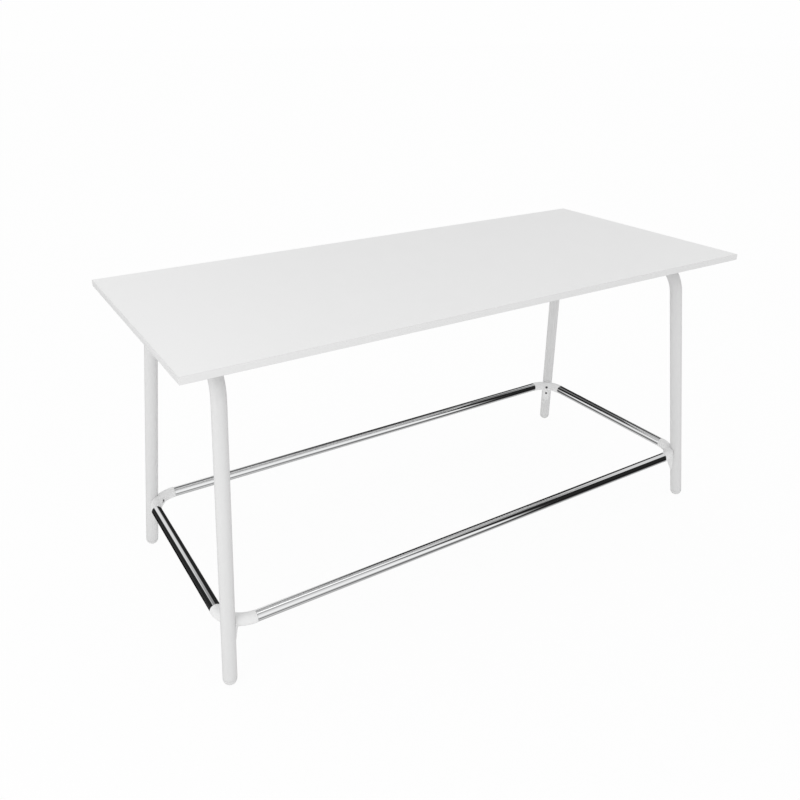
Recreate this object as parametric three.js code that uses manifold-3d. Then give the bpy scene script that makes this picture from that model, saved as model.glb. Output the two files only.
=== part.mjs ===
// A standing meeting table: a white laminate top on two bent steel hoops, with a chromed
// footrest ring that four moulded corner connectors hold to the legs.
// Millimetres, +Z up, +X along the table, origin on the floor under the middle of the top.
import * as THREE from "three";
import { mergeVertices } from "three/addons/utils/BufferGeometryUtils.js";
import Module from "manifold-3d";

// Table top
const TABLE_HEIGHT = 905;
const TOP_LENGTH = 1800;
const TOP_WIDTH = 800;
const TOP_THICKNESS = 18;
const LAMINATE_THICKNESS = 0.8;
const EDGE_BAND_THICKNESS = 2;
const EDGE_ARRIS = 1;
const GLUE_LINE = 0.1;

// Leg hoops: one bent tube makes the two legs of an end and the crossbar between them
const TUBE_DIAMETER = 38;
const TUBE_WALL = 2;
const BEND_RADIUS = 105;
const HOOP_LEAN = THREE.MathUtils.degToRad(6);
const LEG_SPLAY = THREE.MathUtils.degToRad(6);
const FOOT_INSET_END = 35;
const FOOT_INSET_SIDE = 37.5;

// Glides: a domed foot, cut level with the floor, on a ribbed plug
const GLIDE_FLAT_DIAMETER = 12;
const GLIDE_PLUG_LENGTH = 26;
const GLIDE_PLUG_WALL = 3;
const GLIDE_RIB_COUNT = 3;
const GLIDE_RIB_DEPTH = 1.2;

// Footrest ring
const RAIL_HEIGHT = 175;
const RAIL_DIAMETER = 32;
const RAIL_WALL = 1.5;
const RAIL_OUTSET = 5.5;

// Corner connectors: an elbow between two rails, saddled on the leg, with a tab down the leg
const ELBOW_BEND_RADIUS = 80;
const ELBOW_LIP = 1;
const SPIGOT_LENGTH = 30;
const SPIGOT_CHAMFER = 1.5;
const TAB_DROP = 74;
const TAB_WIDTH = 18;
const TAB_LIP = 1;
const CONNECTOR_SCREW_PITCH = 32;

// Machine screws with a socket head, and the rivet nuts in the leg that take them
const SCREW_DIAMETER = 6;
const SCREW_HEAD_DIAMETER = 10;
const SCREW_HEAD_HEIGHT = 3.3;
const SCREW_RIM_HEIGHT = 1.1;
const SCREW_CROWN_DIAMETER = 6;
const SCREW_SOCKET_WIDTH = 4;
const SCREW_SOCKET_DEPTH = 2;
const SCREW_TIP_CHAMFER = 0.8;
const SCREW_RECESS = 2;
const SCREW_END_REACH = 2;
const RIVET_NUT_DIAMETER = 9;
const RIVET_NUT_LENGTH = 12;
const RIVET_FLANGE_DIAMETER = 13;
const RIVET_FLANGE_THICKNESS = 1.2;

// Mounting plates on the crossbars, and the wood screws up into the board
const PLATE_WIDTH = 40;
const PLATE_THICKNESS = 4;
const PLATE_CORNER_RADIUS = 6;
const PLATE_HOLE_MARGIN = 15;
const PLATE_DRIVER_ROOM = 20;
const WELD_ANGLE = THREE.MathUtils.degToRad(35);
const WELD_TOE = 3;
const WOOD_SCREW_DIAMETER = 5;
const WOOD_SCREW_HEAD_DIAMETER = 9.5;
const WOOD_SCREW_RIM = 0.4;
const WOOD_SCREW_POINT = 4;
const WOOD_SCREW_COVER = 6;

// Rails under the top, pushed over stubs on the crossbars
const UNDER_RAIL_DEPTH = 40;
const UNDER_RAIL_WIDTH = 20;
const UNDER_RAIL_WALL = 1.5;
const UNDER_RAIL_CORNER = 2;
const STUB_LENGTH = 45;
const STUB_WALL = 3;
const STUB_COPE = 6;

// Gap between pieces that fit together, and how far a cutter runs past what it cuts
const CLEARANCE = 0.3;
const OVERRUN = 5;

// Facets round a tube, a fastener and a bend
const TUBE_SIDES = 18;
const SPIGOT_SIDES = 12;
const GLIDE_SIDES = 14;
const FASTENER_SIDES = 8;
const HEXAGON = 6;
const BEND_STEPS = 6;
const ELBOW_STEPS = 6;
const DOME_STEPS = 4;
const CORNER_STEPS = 2;
const SADDLE_STEPS = 4;
const TAB_STEPS = 6;
const MERGE_DISTANCE = 1e-4;

const X_AXIS = new THREE.Vector3(1, 0, 0);
const Y_AXIS = new THREE.Vector3(0, 1, 0);
const Z_AXIS = new THREE.Vector3(0, 0, 1);

const wasm = await Module();
wasm.setup();

// Finishes
const laminateWhite = { color: 0xebebea, roughness: 0.42, metalness: 0 };
const edgeBandWhite = { color: 0xe8e8e8, roughness: 0.5, metalness: 0 };
const chipboard = { color: 0xc6ab82, roughness: 0.9, metalness: 0 };
const powderCoatWhite = { color: 0xe6e6e6, roughness: 0.45, metalness: 0 };
const plasticWhite = { color: 0xe8e8e8, roughness: 0.5, metalness: 0 };
const chrome = { color: 0xd9dbdd, roughness: 0.06, metalness: 1 };
const darkSteel = { color: 0x47484a, roughness: 0.45, metalness: 1 };
const zincSteel = { color: 0xb8b9ba, roughness: 0.4, metalness: 1 };

// Solids for joining and cutting

function solid(geometry) {
  const bare = geometry.clone();
  bare.deleteAttribute("normal");
  bare.deleteAttribute("uv");
  const merged = mergeVertices(bare, MERGE_DISTANCE);
  return new wasm.Manifold(
    new wasm.Mesh({
      numProp: 3,
      vertProperties: merged.attributes.position.array,
      triVerts: new Uint32Array(merged.index.array),
    }),
  );
}

function geometryOf(body) {
  const { vertProperties, triVerts } = body.getMesh();
  const geometry = new THREE.BufferGeometry();
  geometry.setAttribute("position", new THREE.BufferAttribute(vertProperties, 3));
  geometry.setIndex(new THREE.BufferAttribute(triVerts, 1));
  geometry.computeVertexNormals();
  return geometry;
}

function join(...geometries) {
  return geometryOf(geometries.map(solid).reduce((whole, next) => whole.add(next)));
}

function cut(geometry, ...cutters) {
  return geometryOf(cutters.map(solid).reduce((left, next) => left.subtract(next), solid(geometry)));
}

function common(first, second) {
  return geometryOf(solid(first).intersect(solid(second)));
}

// Basic shapes, each made on the Z axis

function bar(radius, from, to, sides = TUBE_SIDES) {
  const cylinder = new THREE.CylinderGeometry(radius, radius, to - from, sides);
  return cylinder.rotateX(Math.PI / 2).translate(0, 0, (from + to) / 2);
}

// A cutter whose flats, not its corners, lie at the radius, so that a round piece clears it.
function bore(radius, from, to, sides = TUBE_SIDES) {
  return bar(radius / Math.cos(Math.PI / sides), from, to, sides);
}

// A body of revolution from a profile of [radius, height] points.
function revolve(profile, sides) {
  const points = profile.map(([radius, height]) => new THREE.Vector2(radius, height));
  return new THREE.LatheGeometry(points, sides).rotateX(Math.PI / 2);
}

// Turns a shape from the Z axis to a direction, and starts it at a point.
function along(geometry, start, direction) {
  const turn = new THREE.Quaternion().setFromUnitVectors(Z_AXIS, direction);
  return geometry.clone().applyQuaternion(turn).translate(start.x, start.y, start.z);
}

function circlePoints(radius, sides = TUBE_SIDES) {
  return Array.from({ length: sides }, (_, index) => {
    const angle = (index / sides) * 2 * Math.PI;
    return new THREE.Vector2(radius * Math.cos(angle), radius * Math.sin(angle));
  });
}

function ringShape(outerRadius, innerRadius) {
  const shape = new THREE.Shape(circlePoints(outerRadius));
  shape.holes.push(new THREE.Path(circlePoints(innerRadius)));
  return shape;
}

// A rectangle round the origin with round corners.
function roundedRectangle(width, height, radius, Outline = THREE.Shape) {
  const right = width / 2 - radius;
  const top = height / 2 - radius;
  const quarter = Math.PI / 2;
  return new Outline()
    .absarc(right, top, radius, 0, quarter)
    .absarc(-right, top, radius, quarter, 2 * quarter)
    .absarc(-right, -top, radius, 2 * quarter, 3 * quarter)
    .absarc(right, -top, radius, 3 * quarter, 4 * quarter);
}

// A rectangular tube's section, its depth along the shape's y.
function boxTubeShape(width, depth, wall, cornerRadius) {
  const shape = roundedRectangle(width, depth, cornerRadius);
  const innerRadius = Math.max(cornerRadius - wall, wall / 2);
  shape.holes.push(roundedRectangle(width - 2 * wall, depth - 2 * wall, innerRadius, THREE.Path));
  return shape;
}

// An arc gets two facets for each of its curve segments.
function extrude(shape, depth, arcSteps = CORNER_STEPS) {
  return new THREE.ExtrudeGeometry(shape, { depth, bevelEnabled: false, curveSegments: arcSteps / 2 });
}

// Turns a section drawn across and up, and extruded on Z, so that it runs along X.
function runAlongX(geometry) {
  return geometry.rotateX(Math.PI / 2).rotateZ(Math.PI / 2);
}

// A flat centreline of straight runs and round bends: it has a ring at each end of a run and
// a few round each bend, so that a long straight tube is one step.
class BentLine extends THREE.Curve {
  constructor(stations, planeNormal) {
    super();
    this.stations = stations;
    this.planeNormal = planeNormal;
  }

  getSpacedPoints() {
    return this.stations.map(({ point }) => point);
  }

  computeFrenetFrames() {
    const tangents = this.stations.map(({ tangent }) => tangent);
    const normals = tangents.map(() => this.planeNormal);
    const binormals = tangents.map((tangent) => tangent.clone().cross(this.planeNormal));
    return { tangents, normals, binormals };
  }
}

// Stations round a bend that starts at a point, heads along a tangent and turns to the side of
// the unit vector towards its centre.
function bendStations(start, tangent, toCentre, radius, angle, steps) {
  const centre = start.clone().addScaledVector(toCentre, radius);
  return Array.from({ length: steps + 1 }, (_, index) => {
    const turned = (index / steps) * angle;
    const point = centre
      .clone()
      .addScaledVector(toCentre, -radius * Math.cos(turned))
      .addScaledVector(tangent, radius * Math.sin(turned));
    const heading = tangent
      .clone()
      .multiplyScalar(Math.cos(turned))
      .addScaledVector(toCentre, Math.sin(turned));
    return { point, tangent: heading };
  });
}

function sweep(shape, line) {
  return new THREE.ExtrudeGeometry(shape, { steps: line.stations.length - 1, extrudePath: line });
}

// The back right corner, which the other three mirror

const tubeRadius = TUBE_DIAMETER / 2;
const underside = TABLE_HEIGHT - TOP_THICKNESS;
const foot = new THREE.Vector3(TOP_LENGTH / 2 - FOOT_INSET_END, TOP_WIDTH / 2 - FOOT_INSET_SIDE, 0);

// Up the leg: the hoop's plane leans to the middle of the table, and the leg splays in that plane.
const planeUp = new THREE.Vector3(-Math.sin(HOOP_LEAN), 0, Math.cos(HOOP_LEAN));
const planeNormal = new THREE.Vector3(Math.cos(HOOP_LEAN), 0, Math.sin(HOOP_LEAN));
const legUp = planeUp
  .clone()
  .multiplyScalar(Math.cos(LEG_SPLAY))
  .addScaledVector(Y_AXIS, -Math.sin(LEG_SPLAY));

function legAt(height) {
  return foot.clone().addScaledVector(legUp, height / legUp.z);
}

// The crossbar lies under the mounting plates, and meets the leg's axis at the knee.
const crossbarHeight = underside - PLATE_THICKNESS - 2 * CLEARANCE - tubeRadius;
const knee = legAt(crossbarHeight);
const bendAngle = Math.PI / 2 - LEG_SPLAY;
const bendTangent = BEND_RADIUS * Math.tan(bendAngle / 2);
const crossbarHalf = knee.y - bendTangent;

// The domed foot is a ball as wide as the tube, sunk until its flat has the set width.
const domeCentre = legAt(Math.sqrt(tubeRadius ** 2 - (GLIDE_FLAT_DIAMETER / 2) ** 2));
const tubeEnd = domeCentre.clone().addScaledVector(legUp, CLEARANCE);

// Footrest ring: the rails' axes pass just outside the legs, and an elbow rounds each corner.
const railCentre = legAt(RAIL_HEIGHT);
const elbowCentre = railCentre
  .clone()
  .add(new THREE.Vector3(RAIL_OUTSET - ELBOW_BEND_RADIUS, RAIL_OUTSET - ELBOW_BEND_RADIUS, 0));
const elbowRadius = RAIL_DIAMETER / 2 + ELBOW_LIP;
const inward = new THREE.Vector3(-1, -1, 0).normalize();
const elbowMiddle = elbowCentre.clone().addScaledVector(inward, -ELBOW_BEND_RADIUS);
const elbowInset = elbowMiddle.sub(railCentre).dot(inward);

// The tab's rounded inner face runs from a lip on the leg, at the tab's lower end, up to where it
// is tangent to the elbow.
const tabFoot = legAt(RAIL_HEIGHT - TAB_DROP);
const tabFootReach = tubeRadius + TAB_LIP;
const tabFootInset = tabFoot.clone().sub(railCentre).dot(inward) + tabFootReach;
const tabRun = elbowInset - tabFootInset;
const tabAngle = Math.atan2(tabRun, TAB_DROP) + Math.asin(elbowRadius / Math.hypot(tabRun, TAB_DROP));
const tabHeight = TAB_DROP - elbowRadius * Math.sin(tabAngle);
const legDrift = legUp.clone().divideScalar(legUp.z).sub(Z_AXIS);
const tabDrift = legDrift
  .clone()
  .addScaledVector(inward, Math.tan(tabAngle) - legDrift.dot(inward));

// Both connector screws go straight into the leg, from a point on the connector's inner face.
const screwOut = inward.clone().addScaledVector(legUp, -inward.dot(legUp)).normalize();
const screwFaces = {
  upper: railCentre.clone().addScaledVector(inward, elbowInset + elbowRadius),
  lower: tabFoot
    .clone()
    .addScaledVector(tabDrift, TAB_DROP - CONNECTOR_SCREW_PITCH)
    .addScaledVector(inward, tabFootReach)
    .setZ(RAIL_HEIGHT - CONNECTOR_SCREW_PITCH),
};
const nutFlange = tubeRadius + CLEARANCE;
const nutTop = nutFlange + RIVET_FLANGE_THICKNESS;
const nutEnd = nutTop - RIVET_NUT_LENGTH;
const connectorScrews = Object.entries(screwFaces).map(([row, face]) => {
  const axisPoint = foot.clone().addScaledVector(legUp, face.clone().sub(foot).dot(legUp));
  const seat = face.clone().sub(axisPoint).dot(screwOut) - SCREW_RECESS - SCREW_HEAD_HEIGHT;
  return { row, axisPoint, seat, length: seat - nutEnd + SCREW_END_REACH };
});

// The crossbar's straight part is divided in four: plates on the outer seats, rails on the inner.
const seatPitch = crossbarHalf / 2;
const underRailY = seatPitch / 2;
const plateY = underRailY + seatPitch;
const underRailEnd = knee.x - tubeRadius - CLEARANCE;
const underRailTop = underside - CLEARANCE;
const underRailBottom = underRailTop - UNDER_RAIL_DEPTH;
const stubScrewX = underRailEnd - STUB_LENGTH / 2;

// Table top

const bandedInset = EDGE_BAND_THICKNESS + GLUE_LINE;
const boardLength = TOP_LENGTH - 2 * bandedInset;
const boardWidth = TOP_WIDTH - 2 * bandedInset;
const coreThickness = TOP_THICKNESS - 2 * (LAMINATE_THICKNESS + GLUE_LINE);
const plateBottom = underside - CLEARANCE - PLATE_THICKNESS;
const woodScrewTip = TABLE_HEIGHT - WOOD_SCREW_COVER;
const plateHoleOffset = tubeRadius + PLATE_DRIVER_ROOM;

function woodScrewHoles() {
  const hole = bore(
    WOOD_SCREW_DIAMETER / 2 + CLEARANCE,
    underside - OVERRUN,
    woodScrewTip + CLEARANCE,
    FASTENER_SIDES,
  );
  const places = [];
  for (const sideX of [-1, 1]) {
    for (const sideY of [-1, 1]) {
      for (const side of [-1, 1]) {
        places.push([sideX * (knee.x + side * plateHoleOffset), sideY * plateY]);
      }
    }
  }
  return places.map(([x, y]) => hole.clone().translate(x, y, 0));
}

function coreBoard() {
  const board = new THREE.BoxGeometry(boardLength, boardWidth, coreThickness);
  return cut(board.translate(0, 0, underside + TOP_THICKNESS / 2), ...woodScrewHoles());
}

function laminate(bottom) {
  const sheet = new THREE.BoxGeometry(boardLength, boardWidth, LAMINATE_THICKNESS);
  return sheet.translate(0, 0, bottom + LAMINATE_THICKNESS / 2);
}

// An edge band along X, with its inner face on the X axis and its outer arrises eased.
function edgeBand(length) {
  const arris = Math.min(EDGE_ARRIS, EDGE_BAND_THICKNESS / 2);
  const outer = EDGE_BAND_THICKNESS - arris;
  const section = new THREE.Shape()
    .moveTo(0, 0)
    .lineTo(outer, 0)
    .absarc(outer, arris, arris, -Math.PI / 2, 0)
    .absarc(outer, TOP_THICKNESS - arris, arris, 0, Math.PI / 2)
    .lineTo(0, TOP_THICKNESS);
  return runAlongX(extrude(section, length)).translate(-length / 2, 0, 0);
}

// Leg hoop

function hoop() {
  const frontUp = legUp.clone().setY(-legUp.y);
  const ahead = Y_AXIS.clone().negate();
  const bendStart = knee.clone().addScaledVector(legUp, -bendTangent);
  const toBendCentre = ahead.clone().addScaledVector(legUp, -ahead.dot(legUp)).normalize();
  const crossbarEnd = knee.clone().setY(-crossbarHalf);
  const line = new BentLine(
    [
      { point: tubeEnd, tangent: legUp },
      ...bendStations(bendStart, legUp, toBendCentre, BEND_RADIUS, bendAngle, BEND_STEPS),
      ...bendStations(crossbarEnd, ahead, planeUp.clone().negate(), BEND_RADIUS, bendAngle, BEND_STEPS),
      { point: tubeEnd.clone().setY(-tubeEnd.y), tangent: frontUp.negate() },
    ],
    planeNormal,
  );
  const tube = sweep(ringShape(tubeRadius, tubeRadius - TUBE_WALL), line);
  const nutHole = bore(RIVET_NUT_DIAMETER / 2 + CLEARANCE, 0, nutTop + OVERRUN, FASTENER_SIDES);
  const holes = connectorScrews.flatMap(({ axisPoint }) => [
    along(nutHole, axisPoint, screwOut),
    along(nutHole, axisPoint.clone().setY(-axisPoint.y), screwOut.clone().setY(-screwOut.y)),
  ]);
  return cut(tube, ...holes);
}

// Glide: dome, shoulder under the tube's end, and a hollow plug with barbed ribs

function glide() {
  const boreFlats = (tubeRadius - TUBE_WALL) * Math.cos(Math.PI / TUBE_SIDES);
  const ribRadius = boreFlats - CLEARANCE;
  const plugRadius = ribRadius - GLIDE_RIB_DEPTH;
  const ribPitch = GLIDE_PLUG_LENGTH / GLIDE_RIB_COUNT;
  const dome = Array.from({ length: DOME_STEPS + 1 }, (_, index) => {
    const angle = (index / DOME_STEPS) * (Math.PI / 2);
    return [tubeRadius * Math.sin(angle), -tubeRadius * Math.cos(angle)];
  });
  const ribs = Array.from({ length: GLIDE_RIB_COUNT }, (_, index) => {
    const height = (index + 1) * ribPitch;
    return [
      [plugRadius, height - ribPitch / 2],
      [ribRadius, height - ribPitch / 2],
      [plugRadius, height],
    ];
  }).flat();
  const profile = [
    ...dome,
    [plugRadius, 0],
    ...ribs,
    [plugRadius - GLIDE_PLUG_WALL, GLIDE_PLUG_LENGTH],
    [plugRadius - GLIDE_PLUG_WALL, 0],
    [0, 0],
  ];
  const body = along(revolve(profile, GLIDE_SIDES), domeCentre, legUp);
  const floor = new THREE.BoxGeometry(4 * tubeRadius, 4 * tubeRadius, 2 * tubeRadius);
  return cut(body, floor.translate(foot.x, foot.y, -tubeRadius));
}

// Corner connector

// A rib with a rounded face, which leans away from the leg as it rises and starts inside the leg.
function connectorTab() {
  const radius = TAB_WIDTH / 2;
  const section = new THREE.Shape()
    .moveTo(-tubeRadius, -radius)
    .lineTo(0, -radius)
    .absarc(0, 0, radius, -Math.PI / 2, Math.PI / 2)
    .lineTo(-tubeRadius, radius);
  const rib = extrude(section, tabHeight, TAB_STEPS).rotateZ(Math.atan2(inward.y, inward.x));
  const lean = new THREE.Matrix4().makeShear(0, 0, 0, 0, tabDrift.x, tabDrift.y);
  const start = tabFoot.clone().addScaledVector(inward, tabFootReach - radius);
  return rib.applyMatrix4(lean).translate(...start);
}

function connector() {
  const longEnd = elbowCentre.clone().addScaledVector(Y_AXIS, ELBOW_BEND_RADIUS);
  const shortEnd = elbowCentre.clone().addScaledVector(X_AXIS, ELBOW_BEND_RADIUS);
  const towardsCentre = Y_AXIS.clone().negate();
  const stations = bendStations(longEnd, X_AXIS, towardsCentre, ELBOW_BEND_RADIUS, Math.PI / 2, ELBOW_STEPS);
  const elbow = sweep(new THREE.Shape(circlePoints(elbowRadius)), new BentLine(stations, Z_AXIS));
  const spigotRadius = (RAIL_DIAMETER / 2 - RAIL_WALL) * Math.cos(Math.PI / TUBE_SIDES) - CLEARANCE;
  const spigot = revolve(
    [
      [0, -OVERRUN],
      [spigotRadius, -OVERRUN],
      [spigotRadius, SPIGOT_LENGTH - SPIGOT_CHAMFER],
      [spigotRadius - SPIGOT_CHAMFER, SPIGOT_LENGTH],
      [0, SPIGOT_LENGTH],
    ],
    SPIGOT_SIDES,
  );
  const body = join(
    elbow,
    along(spigot, longEnd, X_AXIS.clone().negate()),
    along(spigot, shortEnd, Y_AXIS.clone().negate()),
    connectorTab(),
  );
  const reach = TAB_DROP + ELBOW_BEND_RADIUS;
  const legRoom = along(bore(tubeRadius + CLEARANCE, -reach, reach), railCentre, legUp);
  const screwRooms = connectorScrews.flatMap(({ axisPoint, seat }) =>
    [
      bore(RIVET_FLANGE_DIAMETER / 2 + CLEARANCE, 0, nutTop + CLEARANCE, FASTENER_SIDES),
      bore(SCREW_DIAMETER / 2 + CLEARANCE, 0, seat + OVERRUN, FASTENER_SIDES),
      bore(SCREW_HEAD_DIAMETER / 2 + CLEARANCE, seat - CLEARANCE, seat + elbowRadius, FASTENER_SIDES),
    ].map((room) => along(room, axisPoint, screwOut)),
  );
  return cut(body, legRoom, ...screwRooms);
}

function footRail(halfLength) {
  const length = 2 * (halfLength - CLEARANCE);
  const tube = extrude(ringShape(RAIL_DIAMETER / 2, RAIL_DIAMETER / 2 - RAIL_WALL), length);
  return tube.translate(0, 0, -length / 2);
}

// Fasteners

// A button-head screw with its seat at the origin, its head up and its shank down.
function machineScrew(length) {
  const radius = SCREW_DIAMETER / 2;
  const headRadius = SCREW_HEAD_DIAMETER / 2;
  const body = revolve(
    [
      [0, -length],
      [radius - SCREW_TIP_CHAMFER, -length],
      [radius, SCREW_TIP_CHAMFER - length],
      [radius, 0],
      [headRadius, 0],
      [headRadius, SCREW_RIM_HEIGHT],
      [SCREW_CROWN_DIAMETER / 2, SCREW_HEAD_HEIGHT],
      [0, SCREW_HEAD_HEIGHT],
    ],
    FASTENER_SIDES,
  );
  const socketFloor = SCREW_HEAD_HEIGHT - SCREW_SOCKET_DEPTH;
  return cut(body, bore(SCREW_SOCKET_WIDTH / 2, socketFloor, SCREW_HEAD_HEIGHT + OVERRUN, HEXAGON));
}

// A rivet nut on the screw's line, measured from the leg's axis.
function rivetNut() {
  const threadRadius = SCREW_DIAMETER / 2 / Math.cos(Math.PI / FASTENER_SIDES) + CLEARANCE;
  return revolve(
    [
      [threadRadius, nutEnd],
      [RIVET_NUT_DIAMETER / 2, nutEnd],
      [RIVET_NUT_DIAMETER / 2, nutFlange],
      [RIVET_FLANGE_DIAMETER / 2, nutFlange],
      [RIVET_FLANGE_DIAMETER / 2, nutTop],
      [threadRadius, nutTop],
      [threadRadius, nutEnd],
    ],
    FASTENER_SIDES,
  );
}

// A countersunk wood screw that points up, with its head's face at the origin.
function woodScrew() {
  const radius = WOOD_SCREW_DIAMETER / 2;
  const headRadius = WOOD_SCREW_HEAD_DIAMETER / 2;
  const length = woodScrewTip - plateBottom;
  return revolve(
    [
      [0, 0],
      [headRadius, 0],
      [headRadius, WOOD_SCREW_RIM],
      [radius, WOOD_SCREW_RIM + headRadius - radius],
      [radius, length - WOOD_SCREW_POINT],
      [0, length],
    ],
    FASTENER_SIDES,
  );
}

// Mounting plate: a flat strip across the crossbar, with its weld, in the crossbar's own frame

function mountingPlate() {
  const saddleRadius = (tubeRadius + CLEARANCE) / Math.cos(WELD_ANGLE / SADDLE_STEPS);
  const bottom = plateBottom - crossbarHeight;
  const half = plateHoleOffset + PLATE_HOLE_MARGIN;
  const weldX = saddleRadius * Math.sin(WELD_ANGLE);
  const weldZ = saddleRadius * Math.cos(WELD_ANGLE);
  const section = new THREE.Shape()
    .moveTo(-half, bottom)
    .lineTo(-weldX - WELD_TOE, bottom)
    .lineTo(-weldX, weldZ)
    .absarc(0, 0, saddleRadius, Math.PI / 2 + WELD_ANGLE, Math.PI / 2 - WELD_ANGLE, true)
    .lineTo(weldX + WELD_TOE, bottom)
    .lineTo(half, bottom)
    .lineTo(half, bottom + PLATE_THICKNESS)
    .lineTo(-half, bottom + PLATE_THICKNESS);
  const strip = extrude(section, PLATE_WIDTH, SADDLE_STEPS).rotateX(Math.PI / 2);
  strip.translate(0, PLATE_WIDTH / 2, 0);
  const outline = extrude(roundedRectangle(2 * half, PLATE_WIDTH, PLATE_CORNER_RADIUS), tubeRadius);
  const radius = WOOD_SCREW_DIAMETER / 2 + CLEARANCE;
  const headRadius = WOOD_SCREW_HEAD_DIAMETER / 2 + CLEARANCE;
  const hole = revolve(
    [
      [0, -OVERRUN],
      [headRadius, -OVERRUN],
      [headRadius, WOOD_SCREW_RIM],
      [radius, WOOD_SCREW_RIM + headRadius - radius],
      [radius, PLATE_THICKNESS + OVERRUN],
      [0, PLATE_THICKNESS + OVERRUN],
    ],
    FASTENER_SIDES,
  );
  const holes = [-1, 1].map((side) => hole.clone().translate(side * plateHoleOffset, 0, bottom));
  return cut(common(strip, outline.translate(0, 0, bottom + PLATE_THICKNESS - tubeRadius)), ...holes);
}

// Rails under the top

function underRail() {
  const section = boxTubeShape(UNDER_RAIL_WIDTH, UNDER_RAIL_DEPTH, UNDER_RAIL_WALL, UNDER_RAIL_CORNER);
  const tube = runAlongX(extrude(section, 2 * underRailEnd)).translate(-underRailEnd, 0, 0);
  const hole = stubScrewHole();
  return cut(
    tube.translate(0, 0, underRailTop - UNDER_RAIL_DEPTH / 2),
    hole.clone().translate(stubScrewX, 0, 0),
    hole.translate(-stubScrewX, 0, 0),
  );
}

function stubScrewHole() {
  const middle = underRailTop - UNDER_RAIL_DEPTH / 2;
  return bore(SCREW_DIAMETER / 2 + CLEARANCE, underRailBottom - OVERRUN, middle, FASTENER_SIDES);
}

// A stub of tube that fits inside the rail, its end coped to the crossbar.
function underRailStub() {
  const gap = UNDER_RAIL_WALL + CLEARANCE;
  const width = UNDER_RAIL_WIDTH - 2 * gap;
  const depth = UNDER_RAIL_DEPTH - 2 * gap;
  const section = boxTubeShape(width, depth, STUB_WALL, UNDER_RAIL_CORNER);
  const tube = runAlongX(extrude(section, STUB_LENGTH + STUB_COPE));
  tube.translate(underRailEnd - STUB_LENGTH, underRailY, underRailTop - UNDER_RAIL_DEPTH / 2);
  const crossbar = bore(tubeRadius + CLEARANCE, -UNDER_RAIL_WIDTH, UNDER_RAIL_WIDTH);
  return cut(
    tube,
    along(crossbar, knee.clone().setY(underRailY), Y_AXIS),
    stubScrewHole().translate(stubScrewX, underRailY, 0),
  );
}

// Scene graph

const table = new THREE.Group();

function addMesh(parent, name, geometry, finish) {
  const mesh = new THREE.Mesh(geometry, new THREE.MeshStandardMaterial(finish));
  mesh.name = name;
  parent.add(mesh);
  return mesh;
}

function addAlong(parent, name, geometry, finish, start, direction) {
  const mesh = addMesh(parent, name, geometry, finish);
  mesh.position.copy(start);
  mesh.quaternion.setFromUnitVectors(Z_AXIS, direction);
  return mesh;
}

const top = new THREE.Group();
table.add(top);
addMesh(top, "top_core_board", coreBoard(), chipboard);
addMesh(top, "top_face_laminate", laminate(TABLE_HEIGHT - LAMINATE_THICKNESS), laminateWhite);
const backing = cut(laminate(underside), ...woodScrewHoles());
addMesh(top, "top_backing_laminate", backing, laminateWhite);

// The long bands cover the ends of the short ones.
const bands = [
  { name: "edge_band_front", length: TOP_LENGTH, out: TOP_WIDTH / 2, turn: Math.PI },
  { name: "edge_band_back", length: TOP_LENGTH, out: TOP_WIDTH / 2, turn: 0 },
  { name: "edge_band_left", length: boardWidth, out: TOP_LENGTH / 2, turn: Math.PI / 2 },
  { name: "edge_band_right", length: boardWidth, out: TOP_LENGTH / 2, turn: -Math.PI / 2 },
];
for (const { name, length, out, turn } of bands) {
  const side = new THREE.Group();
  side.rotation.z = turn;
  top.add(side);
  const band = addMesh(side, name, edgeBand(length), edgeBandWhite);
  band.position.set(0, out - EDGE_BAND_THICKNESS, underside);
}

const hoopGeometry = hoop();
for (const [name, sideX] of [["left", -1], ["right", 1]]) {
  const end = new THREE.Group();
  end.scale.x = sideX;
  table.add(end);
  addMesh(end, `leg_hoop_${name}`, hoopGeometry, powderCoatWhite);
}

const longRail = footRail(elbowCentre.x);
const shortRail = footRail(elbowCentre.y);
const longRailY = elbowCentre.y + ELBOW_BEND_RADIUS;
const shortRailX = elbowCentre.x + ELBOW_BEND_RADIUS;
for (const [name, side] of [["front", -1], ["back", 1]]) {
  const place = new THREE.Vector3(0, side * longRailY, RAIL_HEIGHT);
  addAlong(table, `foot_rail_${name}`, longRail, chrome, place, X_AXIS);
}
for (const [name, side] of [["left", -1], ["right", 1]]) {
  const place = new THREE.Vector3(side * shortRailX, 0, RAIL_HEIGHT);
  addAlong(table, `foot_rail_${name}`, shortRail, chrome, place, Y_AXIS);
}

const underRailGeometry = underRail();
for (const [name, side] of [["front", -1], ["back", 1]]) {
  const rail = addMesh(table, `under_rail_${name}`, underRailGeometry, powderCoatWhite);
  rail.position.y = side * underRailY;
}

const glideGeometry = glide();
const connectorGeometry = connector();
const nutGeometry = rivetNut();
const plateGeometry = mountingPlate();
const woodScrewGeometry = woodScrew();
const stubGeometry = underRailStub();
const stubScrewGeometry = machineScrew(UNDER_RAIL_WALL + STUB_WALL + 2 * CLEARANCE + SCREW_END_REACH);

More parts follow.
